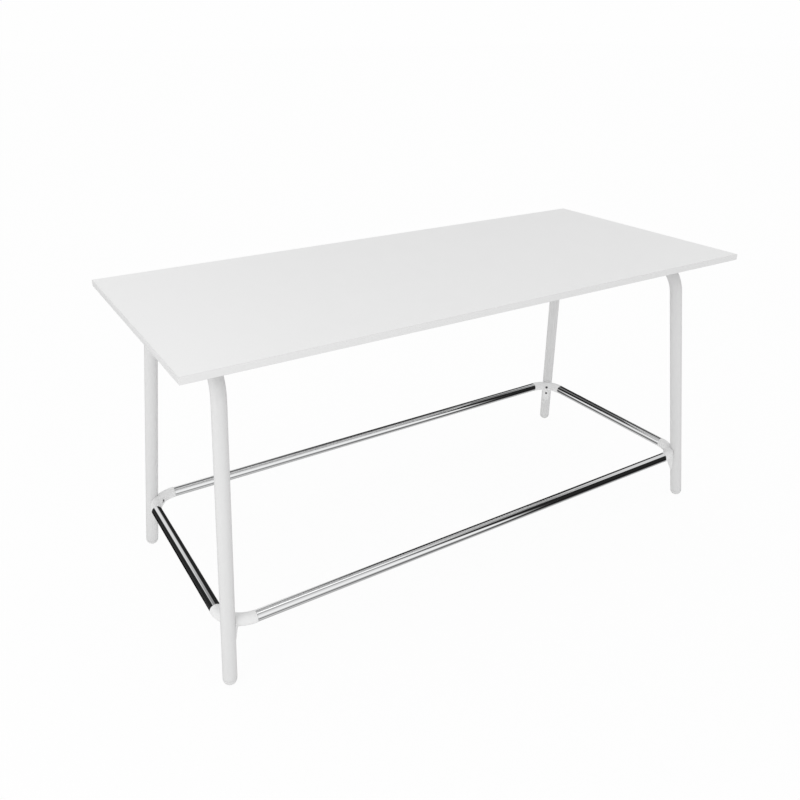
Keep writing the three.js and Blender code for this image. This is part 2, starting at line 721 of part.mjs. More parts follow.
const corners = [
  { name: "front_left", sideX: -1, sideY: -1 },
  { name: "front_right", sideX: 1, sideY: -1 },
  { name: "back_left", sideX: -1, sideY: 1 },
  { name: "back_right", sideX: 1, sideY: 1 },
];
for (const { name, sideX, sideY } of corners) {
  const corner = new THREE.Group();
  corner.scale.set(sideX, sideY, 1);
  table.add(corner);
  addMesh(corner, `glide_${name}`, glideGeometry, plasticWhite);
  addMesh(corner, `corner_connector_${name}`, connectorGeometry, plasticWhite);
  for (const { row, axisPoint, seat, length } of connectorScrews) {
    const seatPoint = axisPoint.clone().addScaledVector(screwOut, seat);
    const screw = machineScrew(length);
    addAlong(corner, `connector_screw_${row}_${name}`, screw, darkSteel, seatPoint, screwOut);
    addAlong(corner, `rivet_nut_${row}_${name}`, nutGeometry, zincSteel, axisPoint, screwOut);
  }

  const plate = addMesh(corner, `mounting_plate_${name}`, plateGeometry, powderCoatWhite);
  plate.position.set(knee.x, plateY, crossbarHeight);
  for (const [row, side] of [["inner", -1], ["outer", 1]]) {
    const screw = addMesh(corner, `plate_screw_${row}_${name}`, woodScrewGeometry, zincSteel);
    screw.position.set(knee.x + side * plateHoleOffset, plateY, plateBottom);
  }

  addMesh(corner, `under_rail_stub_${name}`, stubGeometry, powderCoatWhite);
  const stubScrewSeat = new THREE.Vector3(stubScrewX, underRailY, underRailBottom - CLEARANCE);
  const down = Z_AXIS.clone().negate();
  addAlong(corner, `under_rail_screw_${name}`, stubScrewGeometry, darkSteel, stubScrewSeat, down);
}

export default table;
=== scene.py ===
"""Looks of a standing meeting table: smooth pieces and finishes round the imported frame.

Metres, +Z up. The table's length runs along X and its width along Y, and the origin lies on
the floor under the middle of the top. Corner pieces are made for the back right corner and
mirrored to the other three.
"""

import logging
from collections.abc import Callable, Iterable, Sequence
from dataclasses import dataclass, replace
from enum import Enum
from functools import cached_property
from math import asin, atan2, cos, hypot, pi, radians, sin, sqrt, tan
from typing import Any

import bmesh
import bpy
import numpy as np
from mathutils import Euler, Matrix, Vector
from numpy.typing import NDArray

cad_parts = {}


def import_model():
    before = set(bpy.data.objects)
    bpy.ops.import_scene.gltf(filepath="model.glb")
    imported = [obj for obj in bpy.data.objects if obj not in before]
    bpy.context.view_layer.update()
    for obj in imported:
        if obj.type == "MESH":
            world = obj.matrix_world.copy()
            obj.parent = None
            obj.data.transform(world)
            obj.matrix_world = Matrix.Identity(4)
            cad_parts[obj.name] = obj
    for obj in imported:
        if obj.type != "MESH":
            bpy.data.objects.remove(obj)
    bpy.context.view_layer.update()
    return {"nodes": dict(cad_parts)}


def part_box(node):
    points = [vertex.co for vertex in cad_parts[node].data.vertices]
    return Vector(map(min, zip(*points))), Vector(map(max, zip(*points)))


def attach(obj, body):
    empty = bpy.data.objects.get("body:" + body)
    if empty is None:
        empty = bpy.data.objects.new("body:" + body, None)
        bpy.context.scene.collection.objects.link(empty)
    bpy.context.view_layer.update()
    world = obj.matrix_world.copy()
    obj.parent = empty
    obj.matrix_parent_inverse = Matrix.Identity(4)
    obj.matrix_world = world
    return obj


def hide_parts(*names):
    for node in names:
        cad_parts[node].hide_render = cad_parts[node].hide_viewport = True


Array = NDArray[np.float64]
Colour = tuple[float, float, float]
Ring = Callable[[float], Array]
Field = Callable[[Array], Array]
Profile = Sequence[tuple[float, float]]
Socket = bpy.types.NodeSocket

ROOT_BODY = "root"
MM = 0.001
CLEARANCE = 0.3 * MM  # between pieces that fit together
OVERRUN = 5 * MM  # how far a cutter goes past what it cuts
WELD_DISTANCE = 1e-7  # points closer than this are merged
SHARP_ANGLE = radians(34)  # faces that meet at more than this are shaded apart
EASE_STEPS = 4  # points round an eased edge
EASE_GUARD = 1.5  # place of the row just past an eased edge, in its radii
LEAST_CORNER = 0.1 * MM  # radius that a box section's corners keep
SKIN_ROUNDS = 4  # how often a skin is evened out
SKIN_SLIDES = 3  # slides on to the field's surface in each round
SKIN_STEP = 1 / 8  # step that a field's slope is taken over, in cells
LEAST_STEEPNESS = 0.25  # least square of a slope that a slide divides by
PATTERN_SPAN = (0.3, 0.7)  # where a pattern's lows end and its highs begin
PATTERN_DETAIL = 3.0  # finer layers of a pattern

X_AXIS, Y_AXIS, Z_AXIS = np.eye(3)
BACK_TO_FRONT = np.array([1, -1, 1])

log = logging.getLogger("standing_table")


class Corner(Enum):
    """A corner of the table, by the signs of its x and y."""

    FRONT_LEFT = (-1, -1)
    FRONT_RIGHT = (1, -1)
    BACK_LEFT = (-1, 1)
    BACK_RIGHT = (1, 1)

    @property
    def label(self) -> str:
        """The corner's name as the frame's nodes write it."""
        return self.name.lower()

    @property
    def signs(self) -> Array:
        """Factors that carry the back right corner to this one."""
        return np.array([*self.value, 1.0])


class Pattern(Enum):
    """Procedural textures that the finishes use."""

    NOISE = "ShaderNodeTexNoise"
    CELLS = "ShaderNodeTexVoronoi"


# Surfaces


def unit(vector: Array) -> Array:
    """The vector at length one."""
    return vector / np.linalg.norm(vector)


@dataclass(frozen=True)
class Surface:
    """A mesh held as whole arrays.

    Args:
        points: Places in metres, one row each.
        quads: Rows of four indices into the points.
    """

    points: Array
    quads: NDArray[np.int64]

    def outward(self) -> "Surface":
        """The closed surface with its faces turned outward, by the sign of its volume."""
        a, b, c, d = (self.points[self.quads[:, column]] for column in range(4))
        volume = np.einsum("ij,ij->", a, np.cross(b, c) + np.cross(c, d))
        return self if volume >= 0 else Surface(self.points, self.quads[:, ::-1])

    def mirrored(self, signs: Array) -> "Surface":
        """The surface with its coordinates multiplied by signs, still facing outward."""
        quads = self.quads[:, ::-1] if np.prod(signs) < 0 else self.quads
        return Surface(self.points * signs, quads)


@dataclass(frozen=True)
class Path:
    """Stations of a sweep.

    Args:
        points: The place of each station.
        across: The direction of its section's x.
        up: The direction of its section's y.
    """

    points: Array
    across: Array
    up: Array

    @classmethod
    def line(
        cls, start: Array, direction: Array, heights: Array, across: Array | None = None
    ) -> "Path":
        """A straight path.

        Args:
            start: Where the heights are measured from.
            direction: Which way the path runs.
            heights: Distance of each station from the start.
            across: First direction of the section, or None for any.

        Returns:
            The path with a station for each height.
        """
        heading = unit(direction)
        if across is None:
            across = unit(np.cross(np.eye(3)[np.argmin(np.abs(heading))], heading))
        shape = (len(heights), 3)
        points = start + np.asarray(heights)[:, None] * heading
        up = np.cross(heading, across)
        return cls(points, np.broadcast_to(across, shape), np.broadcast_to(up, shape))

    def taken(self, rows: NDArray[np.int64], shifts: Array) -> "Path":
        """Chosen stations, each moved along the path's heading.

        Args:
            rows: The stations that are taken, in order.
            shifts: How far each is moved.

        Returns:
            The path through the moved stations.
        """
        heading = np.cross(self.across[rows], self.up[rows])
        points = self.points[rows] + shifts[:, None] * heading
        return Path(points, self.across[rows], self.up[rows])


def grid(points: Array) -> Surface:
    """Joins a grid of points with quads.

    Args:
        points: Places by row and column.

    Returns:
        The surface, facing outward.
    """
    rows, columns = points.shape[:2]
    index = np.arange(rows * columns).reshape(rows, columns)
    corners = [index[:-1, :-1], index[:-1, 1:], index[1:, 1:], index[1:, :-1]]
    return Surface(points.reshape(-1, 3), np.stack(corners, axis=-1).reshape(-1, 4)).outward()


def loft(path: Path, rings: Array) -> Surface:
    """Carries sections along a path: a point is its station plus x across plus y up.

    Args:
        path: The stations.
        rings: For each station a closed ring of (x, y), first point repeated at its end.

    Returns:
        The surface through the rings.
    """
    spread = rings[..., :1] * path.across[:, None] + rings[..., 1:] * path.up[:, None]
    return grid(path.points[:, None] + spread)


def circle(sides: int) -> Array:
    """A unit circle, with its first point repeated."""
    turn = np.linspace(0, 2 * pi, sides + 1)
    return np.stack([np.cos(turn), np.sin(turn)], axis=-1)


def round_section(diameter: float, sides: int) -> Ring:
    """A round section as a function of how far it is drawn in from its outside."""
    return lambda inset: (diameter / 2 - inset) * circle(sides)


def box_section(width: float, depth: float, corner: float, steps: int = 6) -> Ring:
    """A rectangular section: a quarter circle round a middle at each of its corners.

    Args:
        width: Its size along x.
        depth: Its size along y.
        corner: Radius of its corners.
        steps: Steps round a corner.

    Returns:
        The section as a function of how far it is drawn in from its outside.
    """
    turn = np.arange(4)[:, None] * pi / 2 + np.linspace(0, pi / 2, steps + 1)
    outward = np.stack([np.cos(turn), np.sin(turn)], axis=-1)
    middles = np.array([[1, 1], [-1, 1], [-1, -1], [1, -1]])[:, None]
    straight = np.array([width / 2 - corner, depth / 2 - corner])

    def ring(inset: float) -> Array:
        """The section drawn in by the inset."""
        radius = max(corner - inset, LEAST_CORNER)
        shrink = corner - inset - radius
        points = (middles * (straight + shrink) + radius * outward).reshape(-1, 2)
        return np.vstack([points, points[:1]])

    return ring


def eased_ends(count: int, ease: float) -> tuple[NDArray[np.int64], Array, Array]:
    """Rows, shifts and insets that round the two ends of a path by quarter circles.

    One more row just past each quarter keeps the shading of the straight part true.

    Args:
        count: Number of stations in the path.
        ease: Radius of the rounding.

    Returns:
        The station of each row, its shift along the path, and its section's inset.
    """
    turn = np.linspace(0, pi / 2, EASE_STEPS)
    shift = ease * np.r_[1 - np.cos(turn), EASE_GUARD]
    inset = ease * np.r_[1 - np.sin(turn), 0]
    start, middle = np.zeros(len(shift), int), np.zeros(count - 2)
    rows = np.r_[start, np.arange(1, count - 1), start + count - 1]
    return rows, np.r_[shift, middle, -shift[::-1]], np.r_[inset, middle, inset[::-1]]


def hollow(path: Path, ring: Ring, wall: float, ease: float) -> Surface:
    """A tube: the section runs out along the path, turns in and comes back inside the wall.

    Args:
        path: The tube's centreline.
        ring: Its outer section by inset.
        wall: Its wall thickness.
        ease: Rounding of the edges at its two ends.

    Returns:
        The closed surface of the tube's wall.
    """
    rows, shifts, insets = eased_ends(len(path.points), ease)
    outer = np.stack([ring(inset) for inset in insets])
    inner = np.stack([ring(wall - inset) for inset in insets])
    loop = np.r_[np.arange(len(rows)), np.arange(len(rows))[::-1], 0]
    rings = np.concatenate([outer, inner[::-1], outer[:1]])
    return loft(path.taken(rows[loop], shifts[loop]), rings)


def solid(path: Path, ring: Ring, ease: float) -> Surface:
    """A bar: the section runs along the path, and each end closes on its own middle.

    Args:
        path: The bar's centreline.
        ring: Its section by inset.
        ease: Rounding of the edges at its two ends.

    Returns:
        The closed surface of the bar.
    """
    rows, shifts, insets = eased_ends(len(path.points), ease)
    rings = np.stack([ring(inset) for inset in insets])
    middle = np.broadcast_to(rings[0, :-1].mean(axis=0), rings[:1].shape)
    rows, shifts = (np.r_[values[0], values, values[-1]] for values in (rows, shifts))
    return loft(path.taken(rows, shifts), np.concatenate([middle, rings, middle]))


def turned(start: Array, axis: Array, heights: Array, radii: Array) -> Surface:
    """A turned piece: at each height along an axis, a ring with a radius for each angle.

    Args:
        start: Where the heights are measured from.
        axis: The direction that the piece is turned round.
        heights: Height of each ring.
        radii: Radius at each height and angle, one row for each height.

    Returns:
        The surface through the rings.
    """
    rings = radii[..., None] * circle(radii.shape[1] - 1)
    return loft(Path.line(start, axis, heights), rings)


def revolved(start: Array, axis: Array, profile: Profile, sides: int) -> Surface:
    """A body of revolution from a profile of (radius, height)."""
    radius, height = np.array(profile).T
    return turned(start, axis, height, np.repeat(radius[:, None], sides + 1, axis=1))


def soft_min(first: Array, second: Array, blend: float) -> Array:
    """The lesser of two fields, rounded over where they come within the blend of each other."""
    share = np.clip(0.5 + 0.5 * (second - first) / blend, 0, 1)
    return second + (first - second) * share - blend * share * (1 - share)


def soft_max(first: Array, second: Array, blend: float) -> Array:
    """The greater of two fields, rounded over where they come within the blend of each other."""
    return -soft_min(-first, -second, blend)


def about_axis(points: Array, start: Array, axis: Array) -> tuple[Array, Array]:
    """Places as they lie about an axis.

    Args:
        points: Places in metres, in the last axis.
        start: A point on the axis.
        axis: Its direction, of length one.

    Returns:
        Each place's distance from the axis, and how far along it lies from the start.
    """
    off = points - start
    along = off @ axis
    return np.linalg.norm(off - along[..., None] * axis, axis=-1), along


def slope(distance: Field, points: Array, step: float) -> Array:
    """The gradient of a field, by differences over a step on each axis."""
    ahead = [distance(points + step * axis) - distance(points - step * axis) for axis in np.eye(3)]
    return np.stack(ahead, axis=-1) / (2 * step)


def evened(surface: Surface) -> Surface:
    """Moves each point half way to the middle of its neighbours along the quads' edges.

    Args:
        surface: The surface.

    Returns:
        The evened surface.
    """
    first, second = surface.quads.ravel(), np.roll(surface.quads, 1, axis=1).ravel()
    size = len(surface.points)
    total = [np.bincount(first, column[second], size) for column in surface.points.T]
    middle = np.stack(total, axis=-1) / np.bincount(first, minlength=size)[:, None]
    return Surface((surface.points + middle) / 2, surface.quads)


def slid(surface: Surface, distance: Field, cell: float) -> Surface:
    """Slides points along a field's slope, by the field over the slope's square.

    Args:
        surface: The surface near the field's zero.
        distance: The field.
        cell: The most that a point slides for a slope of one.

    Returns:
        The surface closer to the field's zero.
    """
    gradient = slope(distance, surface.points, SKIN_STEP * cell)
    steep = np.maximum((gradient**2).sum(axis=1), LEAST_STEEPNESS)
    move = np.clip(distance(surface.points) / steep, -cell, cell)
    return Surface(surface.points - move[:, None] * gradient, surface.quads)


def skin(distance: Field, low: Array, high: Array, cell: float) -> Surface:
    """The surface where a field is zero.

    Every cell of a lattice that the surface crosses gets one point, and the four cells round
    a crossed lattice edge share a quad. The points are then evened out between their
    neighbours and slid along the field's slope on to the surface, a few times over.

    Args:
        distance: The field: below zero inside, and close to true distance near the surface.
        low: Lowest corner of the lattice.
        high: Highest corner of the lattice.
        cell: The lattice's pitch.

    Returns:
        The closed surface.
    """
    counts = ((high - low) / cell).astype(int) + 2
    axes = [start + cell * np.arange(count) for start, count in zip(low, counts)]
    inside = distance(np.stack(np.meshgrid(*axes, indexing="ij"), axis=-1)) < 0
    extent = np.array(inside.shape) - 1
    shifts = np.stack(np.meshgrid([0, 1], [0, 1], [0, 1], indexing="ij"), axis=-1).reshape(-1, 3)
    corners = sum(
        inside[x:x + extent[0], y:y + extent[1], z:z + extent[2]].astype(int) for x, y, z in shifts
    )
    crossed = (corners > 0) & (corners < len(shifts))
    number = np.cumsum(crossed.ravel()).reshape(crossed.shape) - 1
    points = low + cell * (np.argwhere(crossed) + 0.5)
    quads = []
    for axis in range(3):
        there = np.take(inside, range(1, extent[axis] + 1), axis=axis)
        here = np.take(inside, range(extent[axis]), axis=axis)
        edges = np.argwhere(here != there)
        side, rise = np.eye(3, dtype=int)[(axis + 1) % 3], np.eye(3, dtype=int)[(axis + 2) % 3]
        round_edge = np.stack([edges - side - rise, edges - rise, edges, edges - side], axis=1)
        faces = number[tuple(np.moveaxis(round_edge, -1, 0))]
        leaving = here[tuple(edges.T)][:, None]
        quads.append(np.where(leaving, faces, faces[:, ::-1]))
    surface = Surface(points, np.concatenate(quads))
    for _ in range(SKIN_ROUNDS):
        surface = evened(surface)
        for _ in range(SKIN_SLIDES):
            surface = slid(surface, distance, cell)
    return surface.outward()


def mesh_of(name: str, surface: Surface) -> bpy.types.Mesh:
    """Makes a mesh of a surface.

    Args:
        name: The mesh's name.
        surface: The surface.

    Returns:
        The mesh, with its seams and poles closed.
    """
    mesh = bpy.data.meshes.new(name)
    mesh.from_pydata(surface.points.tolist(), [], surface.quads.tolist())
    work = bmesh.new()
    work.from_mesh(mesh)
    bmesh.ops.remove_doubles(work, verts=work.verts, dist=WELD_DISTANCE)
    work.to_mesh(mesh)
    work.free()
    return mesh


def carve(piece: bpy.types.Object, cutter: Surface) -> None:
    """Cuts a room out of a piece.

    Args:
        piece: The piece, whose mesh is replaced.
        cutter: The room's closed surface.
    """
    tool = bpy.data.objects.new("cutter", mesh_of("cutter", cutter))
    bpy.context.collection.objects.link(tool)
    cut = piece.modifiers.new("cut", "BOOLEAN")
    cut.operation, cut.solver, cut.object = "DIFFERENCE", "EXACT", tool
    whole = piece.data
    evaluated = piece.evaluated_get(bpy.context.evaluated_depsgraph_get())
    piece.data = bpy.data.meshes.new_from_object(evaluated)
    piece.modifiers.clear()
    spent = tool.data
    bpy.data.objects.remove(tool)
    for mesh in (whole, spent):
        bpy.data.meshes.remove(mesh)


# Finishes


class Sheet:
    """A node tree, with a short call to add a node and join it up."""

    def __init__(self, tree: bpy.types.NodeTree) -> None:
        """Starts the tree empty."""
        self.tree = tree
        tree.nodes.clear()

    def add(
        self, kind: str, values: dict[str | int, Any] | None = None, **settings: Any
    ) -> bpy.types.Node:
        """Adds a node.

        Args:
            kind: The node's type.
            values: By input, a constant or the output socket that feeds it.
            settings: The node's own properties.

        Returns:
            The new node.
        """
        node = self.tree.nodes.new(kind)
        for name, setting in settings.items():
            setattr(node, name, setting)
        for socket, value in (values or {}).items():
            if isinstance(value, Socket):
                self.tree.links.new(value, node.inputs[socket])
            else:
                node.inputs[socket].default_value = value
        return node

    def mix(self, share: float | Socket, first: Socket, second: Socket) -> Socket:
        """Goes over from the first shader to the second as the share goes from nought to one."""
        return self.add("ShaderNodeMixShader", {0: share, 1: first, 2: second}).outputs[0]

    def seen(self) -> Socket:
        """Tells the rays that show the room as it looks from those that light it.

        Returns:
            One for a ray from the camera, a gloss or a glass, and nought for any other.
        """
        rays = self.add("ShaderNodeLightPath").outputs
        seen = rays["Is Camera Ray"]
        for ray in ("Is Glossy Ray", "Is Transmission Ray"):
            either = self.add("ShaderNodeMath", {0: seen, 1: rays[ray]}, operation="MAXIMUM")
            seen = either.outputs[0]
        return seen


@dataclass(frozen=True)
class Texture:
    """A procedural pattern in the object's own metres.

    Args:
        pattern: Which texture node it is.
        scale: Features in a metre along x, y and z.
    """

    pattern: Pattern
    scale: tuple[float, float, float]

    def height(self, sheet: Sheet) -> Socket:
        """Adds the pattern to a node tree.

        Args:
            sheet: The tree.

        Returns:
            The pattern's value.
        """
        place = sheet.add("ShaderNodeTexCoord").outputs["Object"]
        scaled = sheet.add("ShaderNodeMapping", {"Vector": place, "Scale": self.scale})
        values = {"Vector": scaled.outputs[0], "Scale": 1.0, "Detail": PATTERN_DETAIL}
        node = sheet.add(self.pattern.value, values)
        return node.outputs["Distance" if self.pattern is Pattern.CELLS else "Fac"]


def noise(*scale: float) -> Texture:
    """Noise with one scale for every axis, or one for each."""
    return Texture(Pattern.NOISE, scale * 3 if len(scale) == 1 else scale)


def cells(*scale: float) -> Texture:
    """Cells with one scale for every axis, or one for each."""
    return Texture(Pattern.CELLS, scale * 3 if len(scale) == 1 else scale)


@dataclass(frozen=True)
class Finish:
    """A surface finish: two close tones, an uneven sheen and a fine relief.

    Args:
        name: The material's name.
        slot: The slot that it stands for; not used.
        tones: Colour in the pattern's lows and highs.
        roughness: Roughness in the pattern's lows and highs.
        tone: Pattern of the colour.
        sheen: Pattern of the roughness.
        relief: Pattern of the bumps.
        depth: Height of the bumps in metres.
        metallic: One for bare metal.
        specular: How strongly it shines, with 0.5 for common plastics.
    """

    name: str
    slot: str
    tones: tuple[Colour, Colour]
    roughness: tuple[float, float]
    tone: Texture
    sheen: Texture
    relief: Texture
    depth: float
    metallic: float = 0.0
    specular: float = 0.5

    def material(self) -> bpy.types.Material:
        """Makes the finish a material on its first use.

        Returns:
            The material: a ramp of tones, a range of sheens and a bump on the principled shader.
        """
        known = bpy.data.materials.get(self.name)
        if known is not None:
            return known
        made = bpy.data.materials.new(self.name)
        made.use_nodes = True
        sheet = Sheet(made.node_tree)
        ramp = sheet.add("ShaderNodeValToRGB", {"Fac": self.tone.height(sheet)})
        for stop, place, colour in zip(ramp.color_ramp.elements, PATTERN_SPAN, self.tones):
            stop.position, stop.color = place, (*colour, 1.0)
        spread = dict(zip(("From Min", "From Max"), PATTERN_SPAN))
        spread |= dict(zip(("To Min", "To Max"), self.roughness))
        sheen = sheet.add("ShaderNodeMapRange", {"Value": self.sheen.height(sheet), **spread})
        bumps = {"Height": self.relief.height(sheet), "Distance": self.depth}
        bump = sheet.add("ShaderNodeBump", bumps)
        shader = sheet.add("ShaderNodeBsdfPrincipled", {
            "Base Color": ramp.outputs["Color"],
            "Roughness": sheen.outputs[0],
            "Normal": bump.outputs[0],
            "Metallic": self.metallic,
            "Specular IOR Level": self.specular,
        })
        sheet.add("ShaderNodeOutputMaterial", {"Surface": shader.outputs[0]})
        return made


def grey(level: float) -> Colour:
    """A neutral colour."""
    return (level, level, level)


WHITE_LAMINATE = Finish(
    "white_laminate", "laminate", (grey(0.858), grey(0.872)), (0.50, 0.58),
    noise(900), noise(25), noise(1400), 0.02 * MM, specular=0.08,
)
BACKING_LAMINATE = Finish(
    "pale_backing_laminate", "laminate", (grey(0.60), grey(0.62)), (0.55, 0.65),
    noise(700), noise(25), noise(1400), 0.03 * MM, specular=0.2,
)
WHITE_BAND = Finish(
    "white_edge_band", "edge_band", (grey(0.757), grey(0.772)), (0.44, 0.52),
    noise(600), noise(30), noise(4, 4, 1800), 0.02 * MM,
)
CHIPBOARD = Finish(
    "chipboard", "chipboard", ((0.36, 0.24, 0.13), (0.66, 0.51, 0.33)), (0.82, 0.95),
    cells(220, 220, 600), noise(200), cells(500), 0.3 * MM,
)
POWDER_COAT = Finish(
    "white_powder_coat", "powder_coat", (grey(0.700), grey(0.715)), (0.38, 0.48),
    noise(300), noise(40), noise(420), 0.05 * MM, specular=0.2,
)
# Painted light: the connectors' plastic is made lighter than the glides' plastic of the same white,
# to lift the contact shade round the elbows.
LIGHTENED_MOULDED_PLASTIC = Finish(
    "white_moulded_plastic_lightened", "moulded_plastic", (grey(0.79), grey(0.805)), (0.44, 0.54),
    noise(200), noise(60), noise(2200), 0.03 * MM, specular=0.2,
)
# The glides keep the plastic's plain tone, without that painted light.
GLIDE_PLASTIC = replace(
    LIGHTENED_MOULDED_PLASTIC, name="white_glide_plastic", tones=(grey(0.702), grey(0.717))
)
CHROME_ALONG_X = Finish(
    "chrome_polished_along_x", "chrome", ((0.88, 0.885, 0.89), (0.90, 0.905, 0.91)), (0.02, 0.04),
    noise(12), noise(6, 300, 300), noise(40), 0.005 * MM, metallic=1.0,
)
CHROME_ALONG_Y = replace(
    CHROME_ALONG_X, name="chrome_polished_along_y", sheen=noise(300, 6, 300)
)
BLACKENED_STEEL = Finish(
    "blackened_steel", "blackened_steel", (grey(0.20), grey(0.28)), (0.34, 0.48),
    noise(500), noise(300), noise(1500), 0.02 * MM, metallic=1.0,
)
ZINC_PLATE = Finish(
    "zinc_plate", "zinc_steel", ((0.50, 0.51, 0.53), (0.62, 0.63, 0.64)), (0.28, 0.42),
    cells(400), noise(300), noise(1500), 0.02 * MM, metallic=1.0,
)


def dress(node: bpy.types.Object, finish: Finish) -> None:
    """Gives a node of the frame its finish.

    Args:
        node: The node.
        finish: The finish.
    """
    node.data.materials.clear()
    node.data.materials.append(finish.material())
    log.info("%s dressed in %s", node.name, finish.name)


def add_piece(
    name: str,
    surface: Surface,
    finish: Finish,
    replaced: Sequence[str] = (),
    cutters: Sequence[Surface] = (),
) -> None:
    """Makes a piece of the table from a surface, riding on the frame's body.

    Args:
        name: The piece's name.
        surface: Its shape, in place.
        finish: Its finish.
        replaced: Nodes of the frame that it stands for.
        cutters: Closed surfaces that are cut out of it.
    """
    piece = bpy.data.objects.new(name, mesh_of(name, surface))
    bpy.context.collection.objects.link(piece)
    for cutter in cutters:
        carve(piece, cutter)
    piece.data.shade_smooth()
    piece.data.set_sharp_from_angle(angle=SHARP_ANGLE)
    piece.data.materials.append(finish.material())
    piece.visible_glossy = False
    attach(piece, ROOT_BODY)
    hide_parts(*replaced)
    log.info("%s: %d faces, %s", name, len(piece.data.polygons), finish.name)


def add_at_corners(
    name: str, surface: Surface, finish: Finish, node: str = "", cutters: Sequence[Surface] = ()
) -> None:
    """Adds a piece of the back right corner, mirrored, at each corner.

    Args:
        name: The pieces' name, before that of the corner.
        surface: The shape at the back right.
        finish: The pieces' finish.
        node: Name of the nodes that they stand for, before that of the corner.
        cutters: Closed surfaces that are cut out at the back right.
    """
    for corner in Corner:
        replaced = [f"{node}_{corner.label}"] if node else []
        here, *rooms = (shape.mirrored(corner.signs) for shape in (surface, *cutters))
        add_piece(f"{name}_{corner.label}", here, finish, replaced, rooms)


# Table top


@dataclass(frozen=True)
class TableTop:
    """The banded board.

    Args:
        nodes: The frame's nodes by name.
        arris: Rounding of the band's two outer edges.
        arris_steps: Steps round an arris.
        ease: Rounding of the band's ends.
    """

    nodes: dict[str, bpy.types.Object]
    arris: float = 1.0 * MM
    arris_steps: int = 8
    ease: float = 0.3 * MM

    @cached_property
    def low(self) -> Array:
        """Lowest corner of the board, from the frame's bands."""
        return np.minimum(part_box("edge_band_front")[0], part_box("edge_band_left")[0])

    @cached_property
    def high(self) -> Array:
        """Highest corner of the board, from the frame's bands."""
        return np.maximum(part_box("edge_band_back")[1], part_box("edge_band_right")[1])

    def build(self) -> None:
        """Dresses the board's layers and bands its four sides."""
        dress(self.nodes["top_core_board"], CHIPBOARD)
        dress(self.nodes["top_face_laminate"], WHITE_LAMINATE)
        dress(self.nodes["top_backing_laminate"], BACKING_LAMINATE)
        for side, run, out in (
            ("front", X_AXIS, -Y_AXIS),
            ("back", X_AXIS, Y_AXIS),
            ("left", Y_AXIS, -X_AXIS),
            ("right", Y_AXIS, X_AXIS),
        ):
            name = f"edge_band_{side}"
            add_piece(f"plastic_band_{side}", self.band(name, run, out), WHITE_BAND, [name])

    def band(self, node: str, run: Array, out: Array) -> Surface:
        """A band as a section, flat inside and round at its outer edges, run along its side.

        Args:
            node: The frame's band, which gives the band's size and place.
            run: The direction that it runs along.
            out: The direction that its outer face looks.

        Returns:
            The band's closed surface.
        """
        low, high = (np.array(corner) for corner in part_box(node))
        middle, half = (low + high) / 2, (high - low) / 2
        thick, tall, reach = abs(half @ out), half[2], half @ run
        turn = np.linspace(0, pi / 2, self.arris_steps + 1)

        def ring(inset: float) -> Array:
            """The section drawn in by the inset."""
            radius = self.arris - inset
            right = thick - inset - radius + radius * np.cos(turn)
            top = tall - inset - radius + radius * np.sin(turn)
            left, high_edge = inset - thick, tall - inset
            arc = np.stack([right, top], axis=-1)
            flat = [[left, high_edge], [left, -high_edge]]
            return np.vstack([arc, flat, (arc * [1, -1])[::-1], arc[:1]])

        path = Path.line(middle, np.cross(out, Z_AXIS), np.array([-reach, 0, reach]), out)
        return solid(path, ring, self.ease)


# Legs


